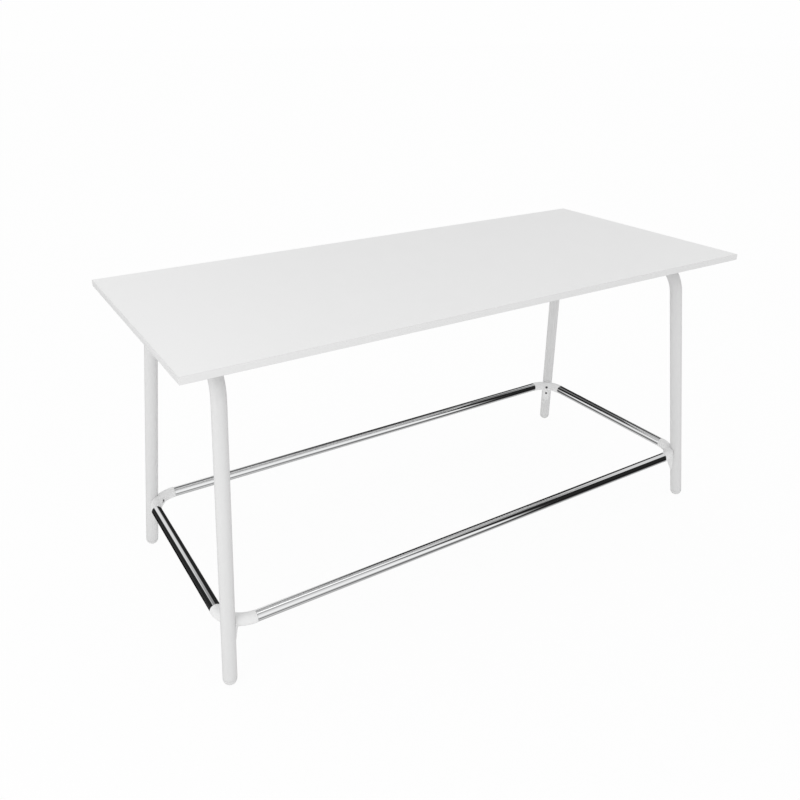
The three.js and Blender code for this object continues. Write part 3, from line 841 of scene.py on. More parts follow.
@dataclass(frozen=True)
class LegFrame:
    """The two hoops of bent tube, and the points of the back right leg worked out from them.

    Args:
        top: The table top that they carry.
        diameter: Outside of the tube.
        wall: Wall of the tube.
        bend_radius: Radius of the tube's centreline at the two bends.
        lean: Lean of a hoop's plane to the middle of the table.
        splay: Splay of a leg in that plane.
        foot_inset_end: From the table's end in to the middle of a foot.
        foot_inset_side: From the table's side in to the middle of a foot.
        plate_thickness: Plate between the crossbar and the board.
        glide_flat: Width of the glide's flat on the floor.
        ease: Rounding of the tube's ends.
        sides: Facets round the tube.
        bend_steps: Steps round a bend.
    """

    top: TableTop
    diameter: float = 38 * MM
    wall: float = 2 * MM
    bend_radius: float = 105 * MM
    lean: float = radians(6)
    splay: float = radians(6)
    foot_inset_end: float = 35 * MM
    foot_inset_side: float = 37.5 * MM
    plate_thickness: float = 4 * MM
    glide_flat: float = 12 * MM
    ease: float = 0.4 * MM
    sides: int = 72
    bend_steps: int = 30

    @property
    def radius(self) -> float:
        """Outer radius of the tube."""
        return self.diameter / 2

    @cached_property
    def underside(self) -> float:
        """Height of the board's underside."""
        return float(self.top.low[2])

    @cached_property
    def foot(self) -> Array:
        """Where the leg's axis meets the floor."""
        insets = np.array([self.foot_inset_end, self.foot_inset_side, 0])
        return self.top.high * [1, 1, 0] - insets

    @cached_property
    def plane_up(self) -> Array:
        """Up the hoop's plane."""
        return np.array([-sin(self.lean), 0, cos(self.lean)])

    @cached_property
    def leg_up(self) -> Array:
        """Up the leg."""
        return self.plane_up * cos(self.splay) - Y_AXIS * sin(self.splay)

    def leg_at(self, height: float) -> Array:
        """The leg's axis at a height."""
        return self.foot + self.leg_up * height / self.leg_up[2]

    @cached_property
    def crossbar_height(self) -> float:
        """Height of the crossbar's axis."""
        return self.underside - self.plate_thickness - 2 * CLEARANCE - self.radius

    @cached_property
    def knee(self) -> Array:
        """Where the axes of the leg and the crossbar meet."""
        return self.leg_at(self.crossbar_height)

    @cached_property
    def bend_tangent(self) -> float:
        """From the knee to either end of the bend."""
        return self.bend_radius * tan((pi / 2 - self.splay) / 2)

    @cached_property
    def crossbar_half(self) -> float:
        """Half of the crossbar's straight part."""
        return float(self.knee[1]) - self.bend_tangent

    @cached_property
    def dome_centre(self) -> Array:
        """Centre of the ball that makes the domed foot."""
        return self.leg_at(sqrt(self.radius**2 - (self.glide_flat / 2) ** 2))

    def hoop(self) -> Surface:
        """A round section carried up a leg, round two bends and down the other leg.

        Returns:
            The closed surface of the right hoop's tube.
        """
        turn = np.linspace(0, pi / 2 - self.splay, self.bend_steps + 1)[:, None]
        to_centre = unit(-Y_AXIS + self.leg_up * (Y_AXIS @ self.leg_up))
        start = self.knee - self.bend_tangent * self.leg_up
        quarter = (1 - np.cos(turn)) * to_centre + np.sin(turn) * self.leg_up
        bend = start + self.bend_radius * quarter
        heading = np.cos(turn) * self.leg_up + np.sin(turn) * to_centre
        points = np.vstack([self.dome_centre + CLEARANCE * self.leg_up, bend])
        headings = np.vstack([self.leg_up, heading])
        points = np.vstack([points, points[::-1] * BACK_TO_FRONT])
        headings = np.vstack([headings, -headings[::-1] * BACK_TO_FRONT])
        normal = np.broadcast_to(np.cross(Y_AXIS, self.plane_up), points.shape)
        path = Path(points, normal, np.cross(headings, normal))
        return hollow(path, round_section(self.diameter, self.sides), self.wall, self.ease)

    def build(self, nut_holes: Sequence[Surface]) -> None:
        """Adds the two hoops.

        Args:
            nut_holes: Rooms of the rivet nuts in the back right leg.
        """
        shape = self.hoop()
        holes = [*nut_holes, *(hole.mirrored(BACK_TO_FRONT) for hole in nut_holes)]
        for side, sign in (("left", -1), ("right", 1)):
            signs = np.array([sign, 1, 1])
            cutters = [hole.mirrored(signs) for hole in holes]
            tube, replaced = shape.mirrored(signs), [f"leg_hoop_{side}"]
            add_piece(f"bent_tube_{side}", tube, POWDER_COAT, replaced, cutters)


@dataclass(frozen=True)
class Glides:
    """Domed feet on ribbed plugs that close the legs.

    Args:
        legs: The legs that they close.
        plug_length: Length of the plug inside the tube.
        plug_wall: Wall of the plug.
        ribs: Barbed ribs on the plug.
        rib_depth: Height of a rib.
        sides: Facets round a glide.
        dome_steps: Steps from the dome's middle to its edge.
    """

    legs: LegFrame
    plug_length: float = 26 * MM
    plug_wall: float = 3 * MM
    ribs: int = 3
    rib_depth: float = 1.2 * MM
    sides: int = 64
    dome_steps: int = 24

    def shape(self) -> Surface:
        """A dome, a shoulder and a barbed plug turned round the leg, pressed flat at the floor.

        Returns:
            The glide's closed surface at the back right.
        """
        ball = self.legs.radius
        rib = ball - self.legs.wall - CLEARANCE
        plug = rib - self.rib_depth
        pitch = self.plug_length / self.ribs
        turn = np.linspace(0, pi / 2, self.dome_steps + 1)
        dome = zip(ball * np.sin(turn), -ball * np.cos(turn))
        barbs = [
            point
            for top in pitch * np.arange(1, self.ribs + 1)
            for point in ((plug, top - pitch / 2), (rib, top - pitch / 2), (plug, top))
        ]
        bore = plug - self.plug_wall
        inside = [(bore, self.plug_length), (bore, 0.0), (0.0, 0.0)]
        profile = [*dome, (plug, 0.0), *barbs, *inside]
        body = revolved(self.legs.dome_centre, self.legs.leg_up, profile, self.sides)
        above_floor = np.maximum(body.points, [-np.inf, -np.inf, 0])
        return Surface(above_floor, body.quads)

    def build(self) -> None:
        """Adds a glide at each corner."""
        add_at_corners("domed_foot", self.shape(), GLIDE_PLASTIC, "glide")


# Footrest ring


@dataclass(frozen=True)
class FootrestRing:
    """Chromed rails round the four legs, and the places of the elbows that join them.

    Args:
        legs: The legs that it goes round.
        height: Height of its axis.
        diameter: Outside of a rail.
        wall: Wall of a rail.
        outset: From a leg's axis out to a rail's.
        bend_radius: Radius of an elbow's centreline.
        ease: Rounding of a rail's ends.
        sides: Facets round a rail.
        stations: Sections along a rail.
    """

    legs: LegFrame
    height: float = 175 * MM
    diameter: float = 32 * MM
    wall: float = 1.5 * MM
    outset: float = 5.5 * MM
    bend_radius: float = 80 * MM
    ease: float = 0.3 * MM
    sides: int = 96
    stations: int = 9

    @cached_property
    def leg_centre(self) -> Array:
        """The leg's axis at the ring's height."""
        return self.legs.leg_at(self.height)

    @cached_property
    def elbow_centre(self) -> Array:
        """Centre that the elbow's centreline turns round."""
        return self.leg_centre + (self.outset - self.bend_radius) * (X_AXIS + Y_AXIS)

    def build(self) -> None:
        """Adds the four rails."""
        section = round_section(self.diameter, self.sides)
        for run, cross, finish, names in (
            (X_AXIS, Y_AXIS, CHROME_ALONG_X, ("front", "back")),
            (Y_AXIS, X_AXIS, CHROME_ALONG_Y, ("left", "right")),
        ):
            reach = float(self.elbow_centre @ run) - CLEARANCE
            out = float(self.elbow_centre @ cross) + self.bend_radius
            for side, name in zip((-1, 1), names):
                middle = side * out * cross + self.height * Z_AXIS
                path = Path.line(middle, run, np.linspace(-reach, reach, self.stations))
                tube = hollow(path, section, self.wall, self.ease)
                add_piece(f"chromed_rail_{name}", tube, finish, [f"foot_rail_{name}"])


# Fasteners


@dataclass(frozen=True)
class SocketScrew:
    """A button-head machine screw with a hexagon socket.

    Args:
        length: Length of the shank.
        diameter: Outside of the thread.
        pitch: Pitch of the thread.
        thread_depth: Depth of the thread.
        thread_runout: Length under the head that the thread fades out over.
        thread_steps: Rings in a pitch.
        chamfer: Chamfer at the shank's end.
        head_diameter: Width of the head.
        head_height: Height of the head.
        rim_height: Height of the head's straight rim.
        crown_diameter: Width of the flat on the head.
        crown_steps: Steps over the head's dome.
        socket_width: Socket across its flats.
        socket_mouth: How much wider the socket is at its mouth.
        socket_depth: Depth of the socket.
        ease: Rounding of the edges.
        sides: Facets round the screw.
    """

    length: float
    diameter: float = 6 * MM
    pitch: float = 1 * MM
    thread_depth: float = 0.5 * MM
    thread_runout: float = 2 * MM
    thread_steps: int = 6
    chamfer: float = 0.8 * MM
    head_diameter: float = 10 * MM
    head_height: float = 3.3 * MM
    rim_height: float = 1.1 * MM
    crown_diameter: float = 6 * MM
    crown_steps: int = 8
    socket_width: float = 4 * MM
    socket_mouth: float = 1.1
    socket_depth: float = 2 * MM
    ease: float = 0.25 * MM
    sides: int = 36

    def shape(self, seat: Array, axis: Array) -> Surface:
        """A turned surface: a helical thread, a domed head, and rings that go over to a hexagon.

        Args:
            seat: Where the axis meets the seat under the head.
            axis: From the seat up through the head.

        Returns:
            The screw's closed surface.
        """
        turn = np.linspace(0, 2 * pi, self.sides + 1)
        radius, head = self.diameter / 2, self.head_diameter / 2
        rise = np.arange(
            -self.length + self.chamfer, -self.ease, self.pitch / self.thread_steps
        )
        wave = 0.5 - 0.5 * np.cos(2 * pi * rise[:, None] / self.pitch - turn)
        fade = np.clip(-rise / self.thread_runout, 0, 1)[:, None]
        thread = radius - self.thread_depth * wave * fade
        dome = np.linspace(0, pi / 2, self.crown_steps + 1)
        crown = self.crown_diameter / 2
        hexagon = self.socket_width / 2 / np.cos(turn % (pi / 3) - pi / 6)
        top, floor = self.head_height, self.head_height - self.socket_depth
        end = np.array([(-self.length, 0.0), (-self.length, radius - self.chamfer)])
        collar = np.array([
            (0.0, radius), (0.0, head - self.ease), (self.ease, head),
            *zip(
                self.rim_height + (top - self.rim_height) * np.sin(dome),
                crown + (head - crown) * np.cos(dome),
            ),
        ])
        socket = np.array([
            (top, self.socket_mouth), (top - self.ease, 1.0),
            (floor, 1.0), (floor - 2 * self.ease, 0.0),
        ])
        heights = np.r_[end[:, 0], rise, collar[:, 0], socket[:, 0]]
        plain = np.ones_like(turn)
        radii = np.vstack([
            end[:, 1:] * plain, thread, collar[:, 1:] * plain, socket[:, 1:] * hexagon,
        ])
        return turned(seat, axis, heights, radii)


@dataclass(frozen=True)
class WoodScrew:
    """A countersunk screw with a six-lobed recess, pointing along its axis.

    Args:
        length: Length from the head's face to the point.
        diameter: Outside of the thread.
        head_diameter: Width of the head.
        rim: Height of the head's straight rim.
        rim_ease: Rounding of the rim's edge, across and along the screw.
        point: Length of the point.
        pitch: Pitch of the thread.
        thread_steps: Rings in a pitch.
        core: Diameter under the thread.
        recess_radius: Radius of the recess between its lobes' tips and hollows.
        lobe_height: From that radius to a tip or a hollow.
        lobes: Lobes of the recess.
        recess_depth: Depth of the recess.
        recess_taper: Width of the recess at its floor and its mouth, as shares.
        sides: Facets round the screw.
    """

    length: float
    diameter: float = 5 * MM
    head_diameter: float = 9.5 * MM
    rim: float = 0.4 * MM
    rim_ease: tuple[float, float] = (0.2 * MM, 0.15 * MM)
    point: float = 4 * MM
    pitch: float = 2.2 * MM
    thread_steps: int = 7
    core: float = 3.2 * MM
    recess_radius: float = 1.6 * MM
    lobe_height: float = 0.3 * MM
    lobes: int = 6
    recess_depth: float = 1.6 * MM
    recess_taper: tuple[float, float] = (0.85, 1.05)
    sides: int = 36

    def shape(self, face: Array, axis: Array) -> Surface:
        """A turned surface: a lobed recess, a cone, and a helical thread that tapers to a point.

        Args:
            face: Where the axis meets the head's face.
            axis: From the face to the point.

        Returns:
            The screw's closed surface.
        """
        turn = np.linspace(0, 2 * pi, self.sides + 1)
        core, crest, head = self.core / 2, self.diameter / 2, self.head_diameter / 2
        lobed = self.recess_radius + self.lobe_height * np.cos(self.lobes * turn)
        neck = self.rim + head - crest
        rise = np.arange(neck, self.length, self.pitch / self.thread_steps)
        taper = np.clip((self.length - rise) / self.point, 0, 1)[:, None]
        ridge = np.clip(np.cos(2 * pi * rise[:, None] / self.pitch - turn), 0, 1) ** 2
        thread = taper * (core + (crest - core) * ridge)
        across, along = self.rim_ease
        floor, mouth = self.recess_taper
        recess = np.array([
            (self.recess_depth, 0.0), (self.recess_depth, floor), (along, 1.0), (0.0, mouth),
        ])
        cone = np.array([(0.0, head - across), (along, head), (self.rim, head), (neck, crest)])
        heights = np.r_[recess[:, 0], cone[:, 0], rise, self.length]
        plain = np.ones_like(turn)
        radii = np.vstack([recess[:, 1:] * lobed, cone[:, 1:] * plain, thread, 0 * plain])
        return turned(face, axis, heights, radii)


# Corner connectors


@dataclass(frozen=True)
class CornerConnectors:
    """Moulded elbows on the legs, with their screws and the rivet nuts that take them.

    Args:
        ring: The footrest ring that they join.
        lip: How far the elbow stands out from a rail.
        spigot_length: Length of the spigot inside a rail.
        spigot_ease: Rounding of the spigot's end.
        tab_drop: From the ring's axis down to the tab's lower end.
        tab_width: Width of the tab's rounded face at the elbow, whose own width it has. The solids
            have a narrower rib, since this was measured after their last change.
        tab_end_width: Width of that face at the tab's lower end.
        tab_lip: How far the tab stands out from the leg at its lower end.
        screw_pitch: Between the two screws.
        recess: Depth of a screw's head below the connector's face.
        screw: A screw, which gives the sizes of its head.
        end_reach: How far a screw comes out of its nut.
        nut_diameter: Outside of a rivet nut.
        nut_length: Length of a rivet nut.
        flange_diameter: Width of its flange.
        flange_thickness: Thickness of its flange.
        flange_ease: Chamfer of its flange.
        bulge_height: How far it bulges behind the leg's wall.
        bulge_length: From the wall's back to the bulge's end.
        bulge_slope: From there back to its full height.
        fillet: Blend where the tab runs into the elbow.
        saddle_gap: Gap between the saddle and the leg.
        edge: Rounding of the moulded edges.
        room_edge: Rounding of the screw holes' edges.
        cell: Pitch of the lattice that the skin is found on.
    """

    ring: FootrestRing
    lip: float = 1 * MM
    spigot_length: float = 30 * MM
    spigot_ease: float = 3 * MM
    tab_drop: float = 74 * MM
    tab_width: float = 34 * MM
    tab_end_width: float = 27 * MM
    tab_lip: float = 1 * MM
    screw_pitch: float = 32 * MM
    recess: float = 2 * MM
    screw: SocketScrew = SocketScrew(0.0)
    end_reach: float = 2 * MM
    nut_diameter: float = 9 * MM
    nut_length: float = 12 * MM
    flange_diameter: float = 13 * MM
    flange_thickness: float = 1.2 * MM
    flange_ease: float = 0.3 * MM
    bulge_height: float = 1.2 * MM
    bulge_length: float = 4 * MM
    bulge_slope: float = 2 * MM
    fillet: float = 8 * MM
    saddle_gap: float = 0.05 * MM
    edge: float = 1.0 * MM
    room_edge: float = 0.7 * MM
    cell: float = 0.8 * MM

    @cached_property
    def legs(self) -> LegFrame:
        """The legs that the connectors hold."""
        return self.ring.legs

    @cached_property
    def elbow_radius(self) -> float:
        """Radius of the elbow's section."""
        return self.ring.diameter / 2 + self.lip

    @cached_property
    def inward(self) -> Array:
        """Level, from the leg to the middle of the table."""
        return unit(-X_AXIS - Y_AXIS)

    @cached_property
    def elbow_inset(self) -> float:
        """From the leg's axis in to the elbow's centreline."""
        middle = self.ring.elbow_centre - self.inward * self.ring.bend_radius
        return float((middle - self.ring.leg_centre) @ self.inward)

    @cached_property
    def tab_foot(self) -> Array:
        """The leg's axis at the tab's lower end."""
        return self.legs.leg_at(self.ring.height - self.tab_drop)

    @cached_property
    def tab_reach(self) -> float:
        """From the leg's axis to the tab's face at its lower end."""
        return self.legs.radius + self.tab_lip

    @cached_property
    def tab_angle(self) -> float:
        """Angle from upright of the tab's inner face, which is tangent to the elbow."""
        foot_inset = float((self.tab_foot - self.ring.leg_centre) @ self.inward) + self.tab_reach
        run = self.elbow_inset - foot_inset
        return atan2(run, self.tab_drop) + asin(self.elbow_radius / hypot(run, self.tab_drop))

    @cached_property
    def tab_drift(self) -> Array:
        """How far the tab's axis moves for each unit of height."""
        leg_drift = self.legs.leg_up / self.legs.leg_up[2] - Z_AXIS
        return leg_drift + self.inward * (tan(self.tab_angle) - float(leg_drift @ self.inward))

    @cached_property
    def screw_out(self) -> Array:
        """Square to the leg, from its axis out through the screws' heads."""
        along = float(self.inward @ self.legs.leg_up)
        return unit(self.inward - along * self.legs.leg_up)

    @cached_property
    def nut_flange(self) -> float:
        """From the leg's axis to the underside of a nut's flange."""
        return self.legs.radius + CLEARANCE

    @cached_property
    def nut_end(self) -> float:
        """From the leg's axis to a nut's inner end, which lies past it."""
        return self.nut_flange + self.flange_thickness - self.nut_length

    @cached_property
    def screws(self) -> dict[str, tuple[Array, float]]:
        """By row, the point on the leg's axis that a screw aims at, and its seat's distance."""
        rise = self.tab_drop - self.screw_pitch
        lower = self.tab_foot + self.tab_drift * rise + self.inward * self.tab_reach
        lower[2] = self.ring.height - self.screw_pitch
        faces = {
            "upper": self.ring.leg_centre + self.inward * (self.elbow_inset + self.elbow_radius),
            "lower": lower,
        }
        places = {}
        for row, face in faces.items():
            along = float((face - self.legs.foot) @ self.legs.leg_up)
            aim = self.legs.foot + along * self.legs.leg_up
            seat = float((face - aim) @ self.screw_out) - self.recess - self.screw.head_height
            places[row] = (aim, seat)
        return places

    def distance(self, points: Array) -> Array:
        """The moulding as a field that is below zero inside it.

        A quarter of a torus is cut off square at its ends and joined to two spigots and, with
        a fillet, to a leaning tab. A cylinder round the leg's axis is taken away, and so
        are the rooms of the screws; every edge is rounded by a soft greater-of.

        Args:
            points: Places in metres, in the last axis.

        Returns:
            The field at each place.
        """
        x, y, z = np.moveaxis(points - self.ring.elbow_centre, -1, 0)
        bend = self.ring.bend_radius
        torus = np.hypot(np.hypot(x, y) - bend, z) - self.elbow_radius
        body = soft_max(soft_max(torus, -x, self.edge), -y, self.edge)
        body = soft_min(body, self._tab(points), self.fillet)
        for run, off in ((x, y), (y, x)):
            spigot = np.hypot(off - bend, z) - (self.ring.diameter / 2 - self.ring.wall - CLEARANCE)
            spigot = soft_max(spigot, -run - self.spigot_length, self.spigot_ease)
            body = np.minimum(body, np.maximum(spigot, run - OVERRUN))
        body = soft_max(body, -self._from_leg(points), self.edge)
        for aim, seat in self.screws.values():
            body = self._less_screw_room(points, body, aim, seat)
        return body

    def _tab(self, points: Array) -> Array:
        """Field of the tab: a rib from the leg's axis to a round face, cut off at both ends.

        The face is a circle in a level plane. It grows wider and moves away from the leg in
        proportion to its height.

        Args:
            points: Places in metres, in the last axis.

        Returns:
            The field at each place.
        """
        height = points[..., 2] - self.tab_foot[2]
        tab_height = self.tab_drop - self.elbow_radius * sin(self.tab_angle)
        radius = np.interp(height, (0, tab_height), (self.tab_end_width / 2, self.tab_width / 2))
        off = points - self.tab_foot - height[..., None] * (Z_AXIS + self.tab_drift)
        along = off @ self.inward - self.tab_reach + radius
        across = off @ np.cross(Z_AXIS, self.inward)
        slant = 1 / sqrt(1 + float(self.tab_drift @ self.tab_drift))
        rib = slant * (np.hypot(np.maximum(along, 0), across) - radius)
        leg_axis = self.tab_foot + height[..., None] * self.legs.leg_up / self.legs.leg_up[2]
        rib = np.maximum(rib, (leg_axis - points) @ self.inward)
        return soft_max(soft_max(rib, -height, self.edge), height - tab_height, self.fillet)

    def _from_leg(self, points: Array) -> Array:
        """Distance outside the room for the leg."""
        radial, _ = about_axis(points, self.legs.foot, self.legs.leg_up)
        return radial - self.legs.radius - self.saddle_gap

    def _less_screw_room(self, points: Array, body: Array, aim: Array, seat: float) -> Array:
        """Cuts the hole, the head's recess and the flange's room of one screw out of a field.

        Args:
            points: Places in metres, in the last axis.
            body: The field at each place.
            aim: The point on the leg's axis that the screw aims at.
            seat: From there to the seat of its head.

        Returns:
            The field with the rooms cut out.
        """
        radial, out = about_axis(points, aim, self.screw_out)
        nut_top = self.nut_flange + self.flange_thickness + CLEARANCE
        widths = (self.screw.head_diameter, self.screw.diameter, self.flange_diameter)
        ends = (seat - CLEARANCE - out, -out, np.maximum(out - nut_top, -out))
        rooms = [
            np.maximum(radial - width / 2 - CLEARANCE, end) for width, end in zip(widths, ends)
        ]
        return soft_max(body, -np.minimum.reduce(rooms), self.room_edge)

    def moulding(self) -> Surface:
        """Finds the skin of the moulding.

        Returns:
            The connector's closed surface at the back right.
        """
        margin = 2 * self.cell
        centre, reach = self.ring.elbow_centre, self.ring.bend_radius + self.elbow_radius + margin
        low = centre - self.spigot_length - margin
        low[2] = self.tab_foot[2] - margin
        high = centre + reach
        high[2] = self.ring.height + self.elbow_radius + margin
        return skin(self.distance, low, high, self.cell)

    def nut(self, aim: Array) -> Surface:
        """A rivet nut: flange, body and bulge behind the tube's wall turned round its bore.

        Args:
            aim: The point on the leg's axis that its screw aims at.

        Returns:
            The nut's closed surface.
        """
        bore, body = self.screw.diameter / 2, self.nut_diameter / 2
        flange, bulge = self.flange_diameter / 2, body + self.bulge_height
        wall_back = self.legs.radius - self.legs.wall
        bulge_end, bulge_top = wall_back - self.bulge_length, wall_back - CLEARANCE
        top = self.nut_flange + self.flange_thickness
        profile = [
            (bore, self.nut_end), (body, self.nut_end), (body, bulge_end),
            (bulge, bulge_end + self.bulge_slope), (bulge, bulge_top), (body, bulge_top),
            (body, self.nut_flange), (flange, self.nut_flange), (flange, top - self.flange_ease),
            (flange - self.flange_ease, top), (bore, top), (bore, self.nut_end),
        ]
        return revolved(aim, self.screw_out, profile, self.screw.sides)

    def nut_holes(self) -> list[Surface]:
        """Rooms that the rivet nuts need in the leg's wall: plain cylinders.

        Returns:
            The rooms' closed surfaces at the back right.
        """
        radius = self.nut_diameter / 2 + CLEARANCE
        top = self.nut_flange + OVERRUN
        profile = [(0.0, 0.0), (radius, 0.0), (radius, top), (0.0, top)]
        aims = [aim for aim, _ in self.screws.values()]
        return [revolved(aim, self.screw_out, profile, self.screw.sides) for aim in aims]

    def build(self) -> None:
        """Adds a connector, its screws and its nuts at each corner."""
        # The connectors wear the lightened plastic, whose painted light lifts their contact shade.
        add_at_corners("moulded_elbow", self.moulding(), LIGHTENED_MOULDED_PLASTIC, "corner_connector")
        for row, (aim, seat) in self.screws.items():
            screw = SocketScrew(seat - self.nut_end + self.end_reach)
            shape = screw.shape(aim + seat * self.screw_out, self.screw_out)
            add_at_corners(f"socket_screw_{row}", shape, BLACKENED_STEEL, f"connector_screw_{row}")
            add_at_corners(f"zinc_nut_{row}", self.nut(aim), ZINC_PLATE, f"rivet_nut_{row}")


# Under the top


@dataclass(frozen=True)
class UnderFrame:
    """Welded plates, their screws into the board, and the box rails between the crossbars.

    Args:
        nodes: The frame's nodes by name.
        legs: The hoops that carry them.
        plate_place: Place of a plate, as a share of half the crossbar's straight part.
        plate_width: A plate's size along the crossbar.
        plate_corner: Radius of its corners.
        driver_room: From the crossbar's side out to a screw, for the driver.
        plate_margin: From a screw out to the plate's end.
        screw_cover: Board left over a wood screw's point.
        weld_radius: Half the thickness of a weld's bead.
        weld_length: Length of a bead.
        weld_angle: From the crossbar's top round to a bead.
        weld_lift: From the crossbar's side out to a bead's middle.
        weld_ripple: Pitch of its ripples.
        ripple_height: Height of a ripple, as a share of the bead's radius.
        ripple_lag: How far a ripple lags round the bead, in pitches.
        weld_bluntness: Power that shapes the bead's two ends, higher for blunter ones.
        weld_steps: Steps along a bead.
        weld_sides: Facets round a bead.
        rail_place: Place of a box rail, as a share of half the crossbar's straight part.
        rail_width: Width of a box rail.
        rail_depth: Depth of a box rail.
        rail_wall: Wall of a box rail.
        rail_corner: Radius of its corners.
        rail_ease: Rounding of its ends.
        rail_stations: Sections along it.
        stub_length: Length of a stub inside a rail.
        stub_wall: Wall of a stub.
        end_reach: How far a rail's screw comes out of its stub.
        ease: Rounding of the plates' edges.
    """

    nodes: dict[str, bpy.types.Object]
    legs: LegFrame
    plate_place: float = 0.75
    plate_width: float = 40 * MM
    plate_corner: float = 6 * MM
    driver_room: float = 20 * MM
    plate_margin: float = 15 * MM
    screw_cover: float = 6 * MM
    weld_radius: float = 2.9 * MM
    weld_length: float = 36 * MM
    weld_angle: float = radians(33)
    weld_lift: float = 1.2 * MM
    weld_ripple: float = 2.2 * MM
    ripple_height: float = 0.10
    ripple_lag: float = 0.3
    weld_bluntness: int = 10
    weld_steps: int = 120
    weld_sides: int = 24
    rail_place: float = 0.25
    rail_width: float = 20 * MM
    rail_depth: float = 40 * MM
    rail_wall: float = 1.5 * MM
    rail_corner: float = 2.5 * MM
    rail_ease: float = 0.25 * MM
    rail_stations: int = 5
    stub_length: float = 45 * MM
    stub_wall: float = 3 * MM
    end_reach: float = 2 * MM
    ease: float = 0.5 * MM

    @cached_property
    def plate_hole(self) -> float:
        """From the crossbar's axis out to a screw."""
        return self.legs.radius + self.driver_room

    @cached_property
    def seat(self) -> Array:
        """The middle of a plate's underside."""
        height = self.legs.underside - CLEARANCE - self.legs.plate_thickness
        return np.array([self.legs.knee[0], self.plate_place * self.legs.crossbar_half, height])

    @cached_property
    def rail_y(self) -> float:
        """From the table's middle out to a box rail."""
        return self.rail_place * self.legs.crossbar_half

    @cached_property
    def rail_end(self) -> float:
        """From the table's middle out to a box rail's end."""
        return float(self.legs.knee[0]) - self.legs.radius - CLEARANCE

    @cached_property
    def rail_bottom(self) -> float:
        """Height of a box rail's lower face."""
        return self.legs.underside - CLEARANCE - self.rail_depth

    def build(self) -> None:
        """Adds the plates, welds, screws and rails, and dresses the stubs."""
        screw = WoodScrew(self.legs.top.high[2] - self.screw_cover - self.seat[2])
        sides = {"inner": -1, "outer": 1}
        faces = {row: self.seat + side * self.plate_hole * X_AXIS for row, side in sides.items()}
        holes = [self.countersink(face, screw) for face in faces.values()]
        add_at_corners("welded_plate", self.plate(), POWDER_COAT, "mounting_plate", holes)
        for row, face in faces.items():
            wood_screw = screw.shape(face, Z_AXIS)
            add_at_corners(f"board_screw_{row}", wood_screw, ZINC_PLATE, f"plate_screw_{row}")
            add_at_corners(f"weld_bead_{row}", self.weld(sides[row]), POWDER_COAT)
        add_at_corners("rail_screw", self.rail_screw(), BLACKENED_STEEL, "under_rail_screw")
        for corner in Corner:
            dress(self.nodes[f"under_rail_stub_{corner.label}"], POWDER_COAT)
        rail, holes = self.rail(), self.rail_holes()
        for name, side in (("front", BACK_TO_FRONT), ("back", np.ones(3))):
            here, *rooms = (shape.mirrored(side) for shape in (rail, *holes))
            add_piece(f"box_rail_{name}", here, POWDER_COAT, [f"under_rail_{name}"], rooms)

    def plate(self) -> Surface:
        """A rectangle with round corners, carried up through the plate's thickness.

        Returns:
            The plate's closed surface at the back right.
        """
        length = 2 * (self.plate_hole + self.plate_margin)
        heights = np.array([0, 0.5, 1]) * self.legs.plate_thickness
        path = Path.line(self.seat, Z_AXIS, heights, X_AXIS)
        return solid(path, box_section(length, self.plate_width, self.plate_corner), self.ease)

    def countersink(self, face: Array, screw: WoodScrew) -> Surface:
        """Room for a countersunk screw in a plate: a hole, a cone and a rim turned round it.

        Args:
            face: The middle of the screw's face.
            screw: The screw.

        Returns:
            The room's closed surface.
        """
        hole, head = screw.diameter / 2 + CLEARANCE, screw.head_diameter / 2 + CLEARANCE
        top = self.legs.plate_thickness + OVERRUN
        neck = screw.rim + head - hole
        profile = [
            (0, -OVERRUN), (head, -OVERRUN), (head, screw.rim), (hole, neck), (hole, top), (0, top),
        ]
        return revolved(face, Z_AXIS, profile, screw.sides)

    def weld(self, side: int) -> Surface:
        """A rippled bead along the crossbar, in the gap under the plate.

        The section is a circle carried along the bead. Its radius swells in ripples that lag
        round the section, and falls off in a round at the two ends.

        Args:
            side: Which side of the crossbar it lies on, by its sign.

        Returns:
            The bead's closed surface.
        """
        reach = self.legs.radius + self.weld_lift
        x = self.seat[0] + side * reach * sin(self.weld_angle)
        z = self.legs.crossbar_height + reach * cos(self.weld_angle)
        share = np.linspace(-1, 1, self.weld_steps + 1)
        turn = np.linspace(0, 2 * pi, self.weld_sides + 1)
        travel = share[:, None] * self.weld_length / 2 / self.weld_ripple
        ripple = (travel + self.ripple_lag * np.cos(turn)) % 1.0
        swell = 1 + self.ripple_height * (ripple - 0.5)
        radii = self.weld_radius * np.sqrt(1 - share**self.weld_bluntness)[:, None] * swell
        middle = np.array([x, self.seat[1], z])
        return turned(middle, Y_AXIS, share * self.weld_length / 2, radii)

    def rail(self) -> Surface:
        """A box section run from crossbar to crossbar.

        Returns:
            The closed surface of the back rail's wall.
        """
        middle = np.array([0, self.rail_y, self.rail_bottom + self.rail_depth / 2])
        heights = np.linspace(-self.rail_end, self.rail_end, self.rail_stations)
        section = box_section(self.rail_width, self.rail_depth, self.rail_corner)
        path = Path.line(middle, X_AXIS, heights, Y_AXIS)
        return hollow(path, section, self.rail_wall, self.rail_ease)

    @cached_property
    def rail_screw_seat(self) -> Array:
        """Where a screw's axis meets a rail's lower face."""
        return np.array([self.rail_end - self.stub_length / 2, self.rail_y, self.rail_bottom])

    def rail_screw(self) -> Surface:
        """A screw up through a rail's lower wall into its stub."""
        length = self.rail_wall + self.stub_wall + 2 * CLEARANCE + self.end_reach
        return SocketScrew(length).shape(self.rail_screw_seat - CLEARANCE * Z_AXIS, -Z_AXIS)

